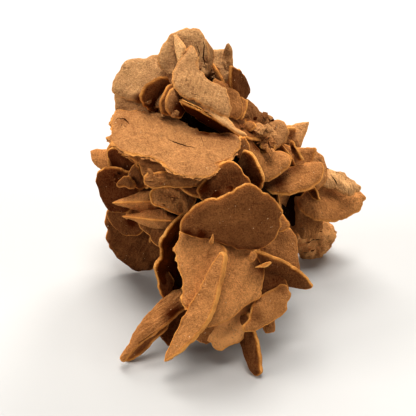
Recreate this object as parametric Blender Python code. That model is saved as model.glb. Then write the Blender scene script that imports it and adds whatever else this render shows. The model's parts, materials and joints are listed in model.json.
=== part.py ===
"""Gypsum sand rose: a cluster of intergrown disc-shaped gypsum crystals, one solid.

Units are metres with +Z up. The rose stands on z = 0 on the tips of three blades, and its front
faces -Y. The origin is under the middle of its box.
"""

import math
import random

import bmesh
import bpy
from mathutils import Matrix, Vector

MM = 0.001

# The blades are drawn and placed about the rose's middle on the floor, and then moved by this much,
# which brings the middle of the finished box over the origin.
BOX_SHIFT = Vector((-7.1 * MM, -16.6 * MM, 0.0))

# Front drawing sheet. The blades that show from the front are outlined on one sheet, as an eye sees
# them that stands 260 mm from the rose's middle and 30 degrees above it. The sheet is 416 units
# square, and one unit is 0.29 mm at the rose's middle.
SHEET_MIDDLE = (208.0, 208.0)
SHEET_FOCUS = 884.0
EYE_DISTANCE = 260.0 * MM
EYE_ELEVATION = math.radians(30.0)
ROSE_MIDDLE = Vector((0.0, 0.0, 45.0 * MM))

# A thin blade is a plate. A blade at least LENS_FROM thick is a lens: a blunt rim RIM thick, and a
# slope up to a flat on both sides, FLAT_SHARE as wide as the blade.
LENS_FROM = 3.0 * MM
RIM = 1.4 * MM
FLAT_SHARE = 0.66

# A blade of the hidden sides is a disc with this many corners.
DISC_CORNERS = 8

# The floor cuts the lowest tips flat, so that the rose stands on them.
FLOOR_SIZE = 300.0 * MM
FLOOR_DEPTH = 20.0 * MM

GYPSUM_COLOUR = (0.40, 0.19, 0.085, 1.0)
GYPSUM_ROUGHNESS = 0.78

# Drawn blades. Each row holds: name, turn, lean, depth, thickness, outline on the sheet.
# turn is the degrees that the face looks to the right of the front, and lean the degrees that it
# looks up. depth is how far back the blade lies, in mm, on the sight line of its outline's middle.
# thickness is in mm.
TOP_BLADES = [
    ("shelf", 20, 75, 7, 3.2,
     [(107, 138), (112, 135), (110, 127), (113, 115), (119, 111), (140, 112), (160, 113), (180, 122),
      (200, 131), (222, 132), (238, 137), (239, 148), (230, 160), (215, 165), (220, 168), (210, 178),
      (195, 178), (180, 176), (160, 162), (145, 157), (130, 155), (116, 148)]),
    ("shelf_layer", 20, 75, 9, 2.4,
     [(113, 144), (113, 130), (130, 120), (200, 133), (230, 140), (236, 150), (222, 170), (212, 181),
      (195, 184), (180, 182), (160, 170), (140, 163), (125, 157)]),
    ("left_top", -15, 45, 28, 3.0,
     [(112, 90), (113, 82), (120, 70), (126, 60), (140, 58), (150, 56), (165, 56), (176, 62), (182, 80),
      (178, 100), (160, 110), (140, 103), (117, 96)]),
    ("left_strip", -10, 30, 23, 2.0,
     [(114, 92), (135, 96), (152, 96), (164, 106), (158, 118), (117, 118)]),
    ("crown", 5, 30, 30, 3.0,
     [(157, 55), (163, 47), (170, 36), (180, 31), (192, 27), (201, 31), (208, 45), (208, 62), (204, 80),
      (190, 88), (170, 82), (158, 68)]),
    ("crown_right", 35, 25, 31, 2.2,
     [(196, 40), (205, 38), (213, 52), (213, 62), (210, 75), (200, 82), (192, 66)]),
    ("crown_chip", -35, 40, 26, 2.0,
     [(174, 34), (178, 36), (187, 50), (183, 56), (180, 64), (176, 58)]),
    ("spear", 15, 45, 20, 2.6,
     [(172, 74), (180, 60), (185, 55), (190, 46), (195, 48), (198, 66), (212, 79), (222, 84), (229, 98),
      (232, 118), (222, 118), (200, 112), (178, 98)]),
    ("overhang", 102, 54, 17, 2.2,
     [(179, 97), (190, 94), (208, 100), (228, 110), (243, 122), (251, 133), (247, 139), (232, 132),
      (215, 119), (199, 109)]),
    ("roof_a", 102, 54, 25, 2.2,
     [(224, 108), (240, 116), (252, 124), (263, 136), (262, 142), (250, 140), (238, 132), (224, 122)]),
    ("roof_b", 100, 62, 30, 2.2,
     [(244, 117), (256, 118), (267, 124), (270, 131), (258, 132), (246, 128)]),
    ("stack_outer", 45, 15, 19, 2.0,
     [(176, 80), (166, 88), (161, 97), (159, 105), (162, 114), (174, 116), (186, 108), (186, 92)]),
    ("stack_inner", 45, 15, 16, 2.0,
     [(176, 84), (168, 93), (165, 100), (166, 110), (170, 117), (180, 118), (188, 108), (184, 92)]),
    ("dark_top", 40, -10, 24, 2.6,
     [(139, 97), (143, 90), (155, 79), (165, 76), (178, 84), (182, 98), (172, 110), (158, 113), (144, 104)]),
    ("step", 25, 40, 22, 2.6,
     [(214, 78), (226, 84), (238, 93), (243, 104), (242, 115), (236, 120), (224, 116), (212, 100)]),
    ("step_chip", -10, 50, 24, 2.0,
     [(238, 98), (248, 100), (246, 112), (242, 121), (234, 118)]),
    ("block", -5, 40, 34, 2.6,
     [(212, 50), (225, 50), (232, 60), (234, 76), (224, 84), (208, 78), (206, 60)]),
    ("spike", -50, 10, 34, 2.2,
     [(225, 50), (230, 42), (232, 48), (232, 60), (231, 78), (222, 78), (223, 60)]),
    ("dark_right", 65, 0, 31, 2.2,
     [(231, 66), (240, 70), (247, 82), (251, 92), (247, 97), (241, 104), (233, 103), (230, 84)]),
    ("right_shoulder", 30, 30, 32, 2.6,
     [(236, 94), (250, 101), (262, 113), (268, 128), (262, 136), (246, 134), (236, 116)]),
]

RIGHT_BLADES = [
    ("right_1", 5, 50, 30, 2.6,
     [(262, 125), (275, 120), (285, 123), (289, 132), (286, 142), (272, 152), (256, 146), (252, 132)]),
    ("right_2", -20, 30, 42, 2.4,
     [(284, 126), (298, 124), (309, 121), (306, 131), (301, 147), (290, 152), (278, 142)]),
    ("right_3", 0, 70, 24, 2.2,
     [(254, 140), (266, 140), (276, 147), (270, 155), (256, 152)]),
    ("right_4", 10, 50, 18, 3.0,
     [(248, 160), (262, 154), (280, 150), (288, 153), (292, 160), (288, 168), (276, 178), (260, 183),
      (246, 176)]),
    ("right_5", 30, 35, 14, 2.8,
     [(240, 138), (250, 139), (259, 149), (264, 160), (262, 178), (250, 182), (236, 162)]),
    ("right_6", 60, 10, 26, 2.2,
     [(282, 136), (293, 144), (301, 154), (302, 162), (296, 168), (284, 158)]),
    ("right_7", -20, 40, 30, 2.6,
     [(294, 150), (306, 147), (316, 148), (313, 160), (306, 172), (292, 176), (288, 162)]),
    ("right_8", 20, 40, 33, 2.8,
     [(306, 148), (313, 149), (323, 157), (327, 168), (327, 180), (318, 190), (306, 184), (300, 166)]),
    ("right_9", 10, 60, 20, 3.2,
     [(262, 196), (272, 190), (288, 175), (304, 165), (316, 161), (323, 168), (321, 182), (313, 190),
      (298, 196), (280, 204), (264, 206)]),
    ("right_10", 15, 55, 35, 2.8,
     [(306, 176), (318, 171), (328, 169), (344, 175), (360, 191), (352, 199), (332, 200), (312, 192)]),
    ("right_11", 25, 50, 32, 3.2,
     [(284, 196), (298, 190), (315, 188), (340, 191), (360, 192), (365, 198), (358, 211), (345, 219),
      (331, 223), (312, 221), (296, 214), (284, 206)]),
    ("right_12", -60, 20, 26, 2.2,
     [(302, 186), (313, 187), (321, 200), (314, 208), (302, 204)]),
    ("right_13", -40, 15, 24, 2.4,
     [(290, 186), (304, 192), (304, 206), (300, 220), (292, 226), (282, 212)]),
    ("right_14", 5, 20, 34, 2.8,
     [(286, 206), (304, 212), (322, 220), (324, 231), (312, 240), (298, 242), (284, 230)]),
    ("right_foot", 15, 15, 44, 4.0,
     [(286, 226), (302, 226), (318, 222), (330, 222), (337, 236), (332, 247), (326, 253), (319, 259),
      (308, 260), (298, 256), (288, 248)]),
]

LEFT_BLADES = [
    ("left_1", -20, 40, 36, 2.6,
     [(90, 151), (97, 149), (110, 150), (120, 158), (118, 170), (104, 172), (94, 163)]),
    ("left_2", -40, -10, 28, 2.8,
     [(106, 153), (112, 147), (122, 148), (138, 158), (140, 172), (126, 180), (110, 172)]),
    ("left_3", -25, 0, 25, 2.8,
     [(96, 180), (98, 171), (108, 166), (122, 168), (138, 176), (140, 200), (128, 212), (110, 212),
      (102, 202)]),
    ("left_4a", -10, 50, 16, 2.2,
     [(116, 184), (124, 178), (136, 176), (144, 182), (140, 192), (128, 192)]),
    ("left_4b", -60, 15, 14, 2.2,
     [(130, 162), (137, 160), (146, 168), (146, 190), (135, 191), (127, 180)]),
    ("left_7", -5, 30, 3, 3.0,
     [(148, 203), (153, 194), (166, 187), (190, 188), (198, 200), (188, 216), (172, 218), (158, 211)]),
    ("left_8", -20, 20, 6, 3.0,
     [(138, 220), (150, 212), (172, 210), (188, 220), (184, 240), (172, 250), (158, 246), (144, 234)]),
    ("left_foot", -15, -5, 32, 4.0,
     [(107, 212), (113, 204), (130, 200), (160, 206), (178, 226), (176, 254), (162, 266), (152, 270),
      (140, 272), (126, 264), (111, 248), (105, 230)]),
    ("left_9b", -50, 0, 27, 2.2,
     [(107, 212), (110, 206), (120, 202), (128, 212), (126, 230), (114, 230)]),
]

MIDDLE_BLADES = [
    ("under_shelf_1", 0, 60, -2, 2.6,
     [(143, 176), (156, 168), (175, 166), (200, 172), (210, 184), (190, 190), (170, 188), (153, 185)]),
    ("under_shelf_2", -20, 20, 2, 2.8,
     [(138, 160), (152, 158), (175, 166), (188, 180), (182, 196), (162, 198), (148, 190), (141, 177)]),
    ("middle_1", 20, 15, -1, 3.0,
     [(222, 162), (230, 160), (238, 166), (247, 177), (255, 191), (248, 204), (225, 212), (205, 206),
      (195, 190), (206, 176)]),
    ("middle_2", 0, 60, -2, 2.6,
     [(176, 184), (195, 177), (220, 178), (236, 186), (232, 198), (210, 200), (190, 196)]),
    ("middle_3", 20, 10, 8, 2.6,
     [(232, 140), (245, 136), (250, 145), (247, 160), (243, 174), (232, 176), (224, 160)]),
    ("middle_4", -45, 0, 6, 2.6,
     [(244, 150), (251, 151), (261, 168), (264, 178), (262, 190), (252, 196), (240, 184), (238, 164)]),
]

FRONT_BLADES = [
    ("front_disc", 5, 5, -9, 3.0,
     [(180, 232), (181, 222), (185, 214), (195, 206), (212, 198), (228, 193), (245, 184), (257, 187),
      (272, 197), (283, 213), (280, 219), (281, 226), (275, 238), (264, 247), (248, 250), (222, 243),
      (195, 237)]),
    ("front_left", -10, 35, -12, 3.0,
     [(180, 232), (176, 246), (177, 262), (184, 284), (182, 300), (188, 310), (202, 304), (218, 280),
      (232, 255), (228, 236), (205, 226)]),
    ("front_fin", -30, 30, -20, 3.0,
     [(222, 251), (226, 259), (220, 280), (216, 296), (208, 321), (195, 340), (180, 350), (163, 362),
      (166, 350), (178, 320), (195, 285), (212, 258)]),
    ("front_lower", 10, 35, -13, 3.0,
     [(212, 238), (232, 236), (250, 240), (254, 262), (263, 287), (260, 298), (246, 304), (238, 313),
      (216, 326), (206, 328), (199, 310), (203, 275)]),
    ("front_bottom", 0, 35, -15, 3.0,
     [(203, 334), (205, 316), (220, 300), (248, 294), (258, 306), (254, 322), (250, 333), (236, 343),
      (220, 351), (211, 344)]),
    ("front_right", 20, 30, -14, 3.0,
     [(240, 331), (238, 312), (246, 292), (268, 284), (285, 283), (291, 289), (286, 304), (281, 316),
      (265, 326), (248, 333)]),
    ("wing", 0, -18, -8, 2.2,
     [(244, 246), (265, 253), (280, 259), (302, 272), (314, 286), (304, 288), (288, 286), (268, 275),
      (250, 264)]),
    ("wing_chip_a", 0, 60, -8, 2.0,
     [(244, 262), (252, 258), (268, 262), (254, 270)]),
    ("wing_chip_b", 0, 20, -8, 2.0,
     [(244, 246), (254, 248), (256, 258), (248, 264), (240, 256)]),
    ("right_of_disc", 25, 25, 2, 2.6,
     [(262, 226), (281, 225), (290, 227), (296, 238), (298, 255), (300, 271), (288, 270), (270, 262),
      (258, 246)]),
    ("disc_chip", -20, 20, 2, 2.0,
     [(242, 206), (282, 214), (290, 226), (284, 232), (244, 226)]),
    ("left_of_disc", 40, 0, -2, 3.0,
     [(196, 212), (178, 217), (168, 227), (159, 243), (161, 257), (153, 266), (157, 280), (164, 299),
      (178, 294), (196, 276), (212, 250), (212, 226)]),
    ("left_chip", 30, 5, -6, 2.0,
     [(157, 270), (166, 268), (174, 280), (172, 294), (164, 299), (158, 288)]),
    ("left_toe", -20, 50, -13, 3.0,
     [(200, 282), (172, 291), (162, 299), (140, 323), (128, 345), (120, 355), (124, 362), (133, 352),
      (143, 342), (157, 333), (176, 318), (204, 300)]),
    ("left_toe_layer", -20, 50, -12, 2.0,
     [(131, 353), (145, 338), (160, 326), (172, 318), (166, 330), (155, 341), (146, 348), (134, 358)]),
    ("toe_gap", 0, 20, -8, 2.4,
     [(159, 334), (170, 318), (184, 296), (198, 284), (194, 316), (180, 340), (168, 346)]),
    ("front_foot", -45, 12, -18, 3.0,
     [(236, 316), (250, 310), (256, 330), (260, 352), (262, 371), (258, 377), (250, 369), (243, 352)]),
    ("foot_chip_a", 20, 5, -12, 2.0,
     [(258, 306), (272, 306), (275, 318), (275, 331), (265, 333)]),
    ("foot_chip_b", 10, 10, -16, 2.0,
     [(194, 318), (214, 320), (216, 338), (206, 345), (195, 339)]),
]

# Blades of the sides, the back and the heart of the cluster, placed in mm about the rose's middle
# on the floor: name, turn, lean, middle, half length, half width, thickness.
PLACED_BLADES = [
    ("back_01", 175, 20, (-5, 40, 69), 12, 10, 2.4),
    ("back_02", 110, 15, (3, 36, 68), 11, 11, 2.4),
    ("back_03", 200, 35, (-19, 38, 60), 11, 10, 2.4),
    ("back_04", 160, -5, (3, 46, 58), 11, 12, 2.4),
    ("back_05", 215, 10, (-14, 45, 50), 15, 12, 2.6),
    ("back_06", 190, 45, (18, 42, 48), 12, 10, 2.4),
    ("back_07", 120, 20, (24, 36, 42), 12, 11, 2.4),
    ("back_08", 235, -15, (-26, 38, 42), 12, 12, 2.4),
    ("back_09", 170, 25, (-4, 48, 38), 16, 13, 2.8),
    ("back_10", 230, -5, (14, 46, 34), 14, 14, 2.6),
    ("back_11", 175, 40, (32, 44, 31), 14, 11, 2.4),
    ("back_12", 155, 5, (-19, 44, 29), 14, 13, 2.6),
    ("back_13", 140, -15, (30, 42, 18), 14, 13, 2.6),
    ("back_14", 200, -15, (1, 46, 22), 15, 13, 2.6),
    ("back_15", 240, 20, (-13, 38, 17), 13, 11, 2.4),
    ("back_16", 170, -50, (12, 38, 13), 14, 11, 2.4),
    ("back_17", 100, 30, (-12, 45, 63), 8, 8, 2.2),
    ("back_18", 180, 70, (11, 46, 44), 12, 9, 2.2),
    ("back_19", 75, 10, (-11, 49, 41), 8, 11, 2.2),
    ("back_20", 200, 75, (-28, 42, 36), 9, 8, 2.2),
    ("back_21", 190, 75, (23, 46, 27), 12, 9, 2.2),
    ("back_22", 60, -20, (6, 50, 30), 9, 10, 2.2),
    ("back_23", 180, 60, (-8, 46, 26), 11, 9, 2.2),
    ("back_24", 120, 10, (37, 44, 26), 8, 9, 2.2),
    ("back_25", 150, 60, (5, 42, 62), 9, 8, 2.2),
    ("side_01", -80, 15, (-22, 20, 47), 12, 10, 2.4),
    ("side_02", -110, 20, (-24, 26, 32), 12, 11, 2.4),
    ("side_03", -70, -20, (-15, 16, 26), 13, 12, 2.4),
    ("side_04", 85, 25, (18, 31, 47), 11, 9, 2.4),
    ("side_05", 100, 5, (21, 27, 34), 12, 11, 2.4),
    ("side_06", 65, -15, (27, 28, 24), 13, 11, 2.4),
    ("side_07", 95, 15, (16, 6, 24), 12, 12, 2.4),
    ("heart_01", 0, 15, (4, 6, 40), 17, 18, 4.0),
    ("heart_02", 90, 0, (2, 20, 40), 20, 20, 4.0),
    ("heart_03", 40, 10, (6, 22, 38), 20, 20, 4.0),
    ("heart_04", -45, -10, (2, 24, 36), 20, 20, 4.0),
    ("heart_05", 0, 80, (2, 26, 54), 18, 17, 4.0),
    ("heart_06", 10, 85, (6, 26, 28), 22, 20, 4.0),
    ("heart_07", 20, -20, (3, -2, 25), 14, 13, 4.0),
    ("heart_08", 80, 10, (-4, 30, 68), 10, 12, 4.0),
]

# Two thick lenses at the left that stand edge-on to the front, with a tip that points left:
# name, turn, lean, middle, half length, half width, thickness.
SPIKES = [
    ("left_spike_upper", 0, -60, (-20.5, 12, 41.2), 9, 8, 4.6),
    ("left_spike_lower", 0, -62, (-17, 8, 38.2), 9, 7, 4.2),
]


def new_collection(name):
    made = bpy.data.collections.new(name)
    bpy.context.scene.collection.children.link(made)
    return made


def gypsum_material():
    material = bpy.data.materials.new("sand_gypsum")
    material.use_nodes = True
    shader = material.node_tree.nodes["Principled BSDF"]
    shader.inputs["Base Color"].default_value = GYPSUM_COLOUR
    shader.inputs["Roughness"].default_value = GYPSUM_ROUGHNESS
    shader.inputs["Metallic"].default_value = 0.0
    return material


def turned(turn, lean):
    """Rotation that turns a blade lying flat to face turn degrees right of the front, lean up."""
    return Matrix.Rotation(math.radians(turn), 3, "Z") @ Matrix.Rotation(math.radians(90 - lean), 3, "X")


def eye_point():
    back = Vector((0.0, -math.cos(EYE_ELEVATION), math.sin(EYE_ELEVATION)))
    return ROSE_MIDDLE + back * EYE_DISTANCE


def sight_line(x, y):
    """Direction from the eye through the sheet's point (x, y)."""
    across = (x - SHEET_MIDDLE[0]) / SHEET_FOCUS
    up = (SHEET_MIDDLE[1] - y) / SHEET_FOCUS
    sine = math.sin(EYE_ELEVATION)
    cosine = math.cos(EYE_ELEVATION)
    return Vector((across, cosine + sine * up, -sine + cosine * up))


def laid_on_blade(outline, turn, lean, depth):
    """The blade's place, and its drawn outline carried along the sight lines to its own plane."""
    eye = eye_point()
    middle_x = sum(x for x, _ in outline) / len(outline)
    middle_y = sum(y for _, y in outline) / len(outline)
    middle = sight_line(middle_x, middle_y)
    place = eye + middle * ((depth * MM - eye.y) / middle.y)
    rotation = turned(turn, lean)
    normal = rotation.col[2]
    points = []
    for x, y in outline:
        line = sight_line(x, y)
        hit = eye + line * (normal.dot(place - eye) / normal.dot(line))
        points.append((rotation.transposed() @ (hit - place)).to_2d())
    return place, points


def spike_outline(half_length, half_width):
    """A disc drawn out to a tip at its far left."""
    tip, shoulder, belly, heel = -1.0, -0.35, 0.2, 0.8
    upper = [(shoulder, 0.6), (belly, 1.0), (heel, 0.8)]
    lower = [(along, -across) for along, across in reversed(upper)]
    shares = [(tip, 0.0)] + upper + [(1.0, 0.0)] + lower
    return [Vector((half_length * along, half_width * across)) for along, across in shares]


def disc_outline(half_length, half_width, chance):
    """An ellipse with a few corners, each a little in or out of its even place."""
    points = []
    for corner in range(DISC_CORNERS):
        angle = 2.0 * math.pi * (corner + chance.uniform(-0.25, 0.25)) / DISC_CORNERS
        reach = chance.uniform(0.88, 1.06)
        points.append(Vector((half_length * reach * math.cos(angle), half_width * reach * math.sin(angle))))
    return points


def add_step(shape, face, scale, rise):
    """Extrudes one flat face by rise, shrunk about its middle, and returns the new face."""
    made = bmesh.ops.extrude_discrete_faces(shape, faces=[face])["faces"][0]
    middle = made.calc_center_median()
    for corner in made.verts:
        corner.co = middle + (corner.co - middle) * scale + Vector((0.0, 0.0, rise))
    return made


def blade_mesh(name, points, thickness, place, rotation):
    """A closed plate or lens of the outline's shape, turned and set in its place."""
    is_lens = thickness >= LENS_FROM
    rim = RIM if is_lens else thickness
    shape = bmesh.new()
    edge = [shape.verts.new((point.x, point.y, -rim / 2)) for point in points]
    above = add_step(shape, shape.faces.new(edge), 1.0, rim)
    below = shape.faces.new(edge[::-1])
    if is_lens:
        add_step(shape, above, FLAT_SHARE, (thickness - rim) / 2)
        add_step(shape, below, FLAT_SHARE, -(thickness - rim) / 2)
    bmesh.ops.recalc_face_normals(shape, faces=shape.faces)
    shape.transform(Matrix.Translation(place + BOX_SHIFT) @ rotation.to_4x4())
    mesh = bpy.data.meshes.new(name)
    shape.to_mesh(mesh)
    shape.free()
    return mesh


def all_blade_meshes():
    meshes = []
    drawn = TOP_BLADES + RIGHT_BLADES + LEFT_BLADES + MIDDLE_BLADES + FRONT_BLADES
    for name, turn, lean, depth, thickness, outline in drawn:
        place, points = laid_on_blade(outline, turn, lean, depth)
        meshes.append(blade_mesh(name, points, thickness * MM, place, turned(turn, lean)))
    for name, turn, lean, middle, half_length, half_width, thickness in SPIKES:
        points = spike_outline(half_length * MM, half_width * MM)
        meshes.append(blade_mesh(name, points, thickness * MM, Vector(middle) * MM, turned(turn, lean)))
    chance = random.Random(7)
    for name, turn, lean, middle, half_length, half_width, thickness in PLACED_BLADES:
        points = disc_outline(half_length * MM, half_width * MM, chance)
        meshes.append(blade_mesh(name, points, thickness * MM, Vector(middle) * MM, turned(turn, lean)))
    return meshes


def helper(name, mesh, into):
    made = bpy.data.objects.new(name, mesh)
    made.hide_render = True
    made.display_type = "WIRE"
    into.objects.link(made)
    return made


def floor_cutter(into):
    shape = bmesh.new()
    bmesh.ops.create_cube(shape, size=1.0)
    size = Matrix.Diagonal((FLOOR_SIZE, FLOOR_SIZE, FLOOR_DEPTH, 1.0))
    shape.transform(Matrix.Translation((0.0, 0.0, -FLOOR_DEPTH / 2)) @ size)
    mesh = bpy.data.meshes.new("floor")
    shape.to_mesh(mesh)
    shape.free()
    return helper("floor", mesh, into)


def build_rose():
    """One blade carries the rest: all are joined to it, and the tips are cut level with the floor."""
    parts = new_collection("gypsum_sand_rose")
    blades = new_collection("blades_to_join")
    cutters = new_collection("cutters")
    first, *others = all_blade_meshes()
    for mesh in others:
        helper(mesh.name, mesh, blades)
    rose = bpy.data.objects.new("sand_rose", first)
    rose.data.name = "sand_rose"
    rose.data.materials.append(gypsum_material())
    parts.objects.link(rose)
    join = rose.modifiers.new("join_blades", "BOOLEAN")
    join.operation = "UNION"
    join.operand_type = "COLLECTION"
    join.collection = blades
    join.solver = "EXACT"
    level = rose.modifiers.new("level_feet", "BOOLEAN")
    level.operation = "DIFFERENCE"
    level.object = floor_cutter(cutters)
    level.solver = "EXACT"
    return rose


for leftover in list(bpy.data.objects):
    bpy.data.objects.remove(leftover, do_unlink=True)
build_rose()
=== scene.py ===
import json
import math

import bmesh
import bpy
import numpy as np
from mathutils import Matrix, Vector

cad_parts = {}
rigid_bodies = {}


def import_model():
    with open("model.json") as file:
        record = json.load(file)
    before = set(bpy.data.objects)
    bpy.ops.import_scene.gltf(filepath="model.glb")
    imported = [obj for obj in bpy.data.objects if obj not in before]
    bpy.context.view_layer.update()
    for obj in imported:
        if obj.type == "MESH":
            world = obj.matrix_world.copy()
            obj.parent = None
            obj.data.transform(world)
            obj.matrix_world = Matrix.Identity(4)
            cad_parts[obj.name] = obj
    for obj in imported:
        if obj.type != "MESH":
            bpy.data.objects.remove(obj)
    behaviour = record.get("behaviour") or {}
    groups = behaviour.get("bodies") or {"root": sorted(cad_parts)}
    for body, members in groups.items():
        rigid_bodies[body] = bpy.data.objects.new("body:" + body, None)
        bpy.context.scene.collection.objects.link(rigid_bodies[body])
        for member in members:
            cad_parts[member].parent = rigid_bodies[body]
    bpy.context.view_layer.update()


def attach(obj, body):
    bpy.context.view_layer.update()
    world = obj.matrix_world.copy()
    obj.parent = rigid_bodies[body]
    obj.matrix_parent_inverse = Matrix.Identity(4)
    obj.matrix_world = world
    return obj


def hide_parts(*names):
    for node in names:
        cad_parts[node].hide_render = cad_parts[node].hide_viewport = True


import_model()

mm = 0.001

# Desert rose: flat gypsum blades grown through each other, joined into one closed surface.

# The blades that show from the front are outlined on one drawing sheet, as an eye sees them that
# stands 260 mm from the middle of the rose and 30 degrees above it. One unit of the sheet is 0.29 mm
# at the middle of the rose.
sheet = {
    "middle": (208.0, 208.0),
    "size": 416.0,
    "focus": 884.0,
    "eyeDistance": 260.0 * mm,
    "eyeElevation": math.radians(30.0),
    "roseMiddle": (0.0, 0.0, 45.0 * mm),
    "boxShift": (-7.1 * mm, -16.6 * mm, 0.0),  # brings the middle of the box over the origin
}

# What a user would change on the blades, in mm. A row of bladeLooks overrides these for one blade.
bladeSettings = {
    "step": 0.68,           # mesh spacing along the rim
    "rim": 1.4,             # thickness at the rim
    "slope": 1.7,           # width of the slope from the rim up to the flat
    "rounding": 0.4,        # radius of the worn rim
    "edge": 0.45,           # share of the rim's thickness that stands upright
    "corner": 0.5,          # how far a corner of the outline is eased
    "ragged": 0.11,         # how far the rim wanders in and out
    "nicks": 2,             # notches broken out of the rim
    "nickDepth": 0.5,
    "sheets": 1,            # thin sheets that show in the rim
    "sheetOffset": 0.3,     # how far one sheet stands back from the next
    "relief": 0.10,         # gentle unevenness of the faces
    "terrace": 0.10,        # height of the growth steps near the rim
    "warp": 0.3,            # how far a whole blade bends out of its plane
    "straight": 0,          # 1 makes the slope an even wedge
    "toneAndShading": 0.72,           # 0 dark brown, 1 pale sand; it holds the blade's colour and painted shade and light
    "glow": 0.8,            # how strongly the rim shows a painted orange glow, as of light through the thin gypsum
    "fibre": 0.45,          # how strongly the face is drawn in fine lines
    "fibreTurn": 90,        # degrees from along the blade to its fine lines
    "pale": 0.0,            # 0 orange sand, 1 pale pinkish sand; on the lit top blades it is partly painted light
}

hiddenSettings = {"step": 1.5}  # blades of the sides that the sheet doesn't show
heartSettings = {"step": 3.2, "toneAndShading": -0.4, "glow": 0.0}  # blades deep inside, seen only through gaps; their tone below 0 paints them black as shade

# What all blades share, in mm unless a line says otherwise.
growth = {
    "stepWidth": 1.9,       # from one growth step of a face to the next
    "stepCount": 3.0,       # growth steps on a face
    "stepRise": 0.25,       # share of a step's width in which it rises
    "stepWander": 0.7,      # how far the steps wander, in step widths
    "stepWave": 9.0,        # length of that wandering
    "wave": 7.0,            # length of the faces' gentle waves
    "fineWave": 2.2,        # length of their finer waves
    "fineShare": 0.45,      # height of the finer waves beside the gentle ones
    "fade": 1.2,            # from the rim in to where steps and waves are at full height
    "rimWave": 6.0,         # length of the rim's wandering in and out
    "nickWidth": (0.6, 1.5),
    "nickShare": (0.3, 1.0),  # share of nickDepth that a notch has
    "crowding": 0.35,       # how much closer the mesh lies near the rim
    "sheetWave": 5.0,       # length of a thin sheet's wandering
    "sheetStand": 0.16,     # how far a thin sheet stands out of the rim
    "grooveStand": -0.28,   # the same for the groove between two sheets
    "sheetRimDistance": 0.1,       # distance from the rim given to a thin sheet, so that the painted rim glow and crest colour it
    "grooveRimDistance": 1.6,      # the same for a groove, which stays without the painted glow
}

rimMapReach = 5.0     # mm from the rim that the map of rim distance covers; it places the worn crest and the painted rim glow
faceScale = 100.0   # the map of the face is in cm
lineShift = 9.0     # cm, the furthest that a blade's fine lines are shifted, so that no two match
seeds = {"drawn": 100, "spike": 300, "outline": 400, "placed": 500, "crumb": 700}

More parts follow.
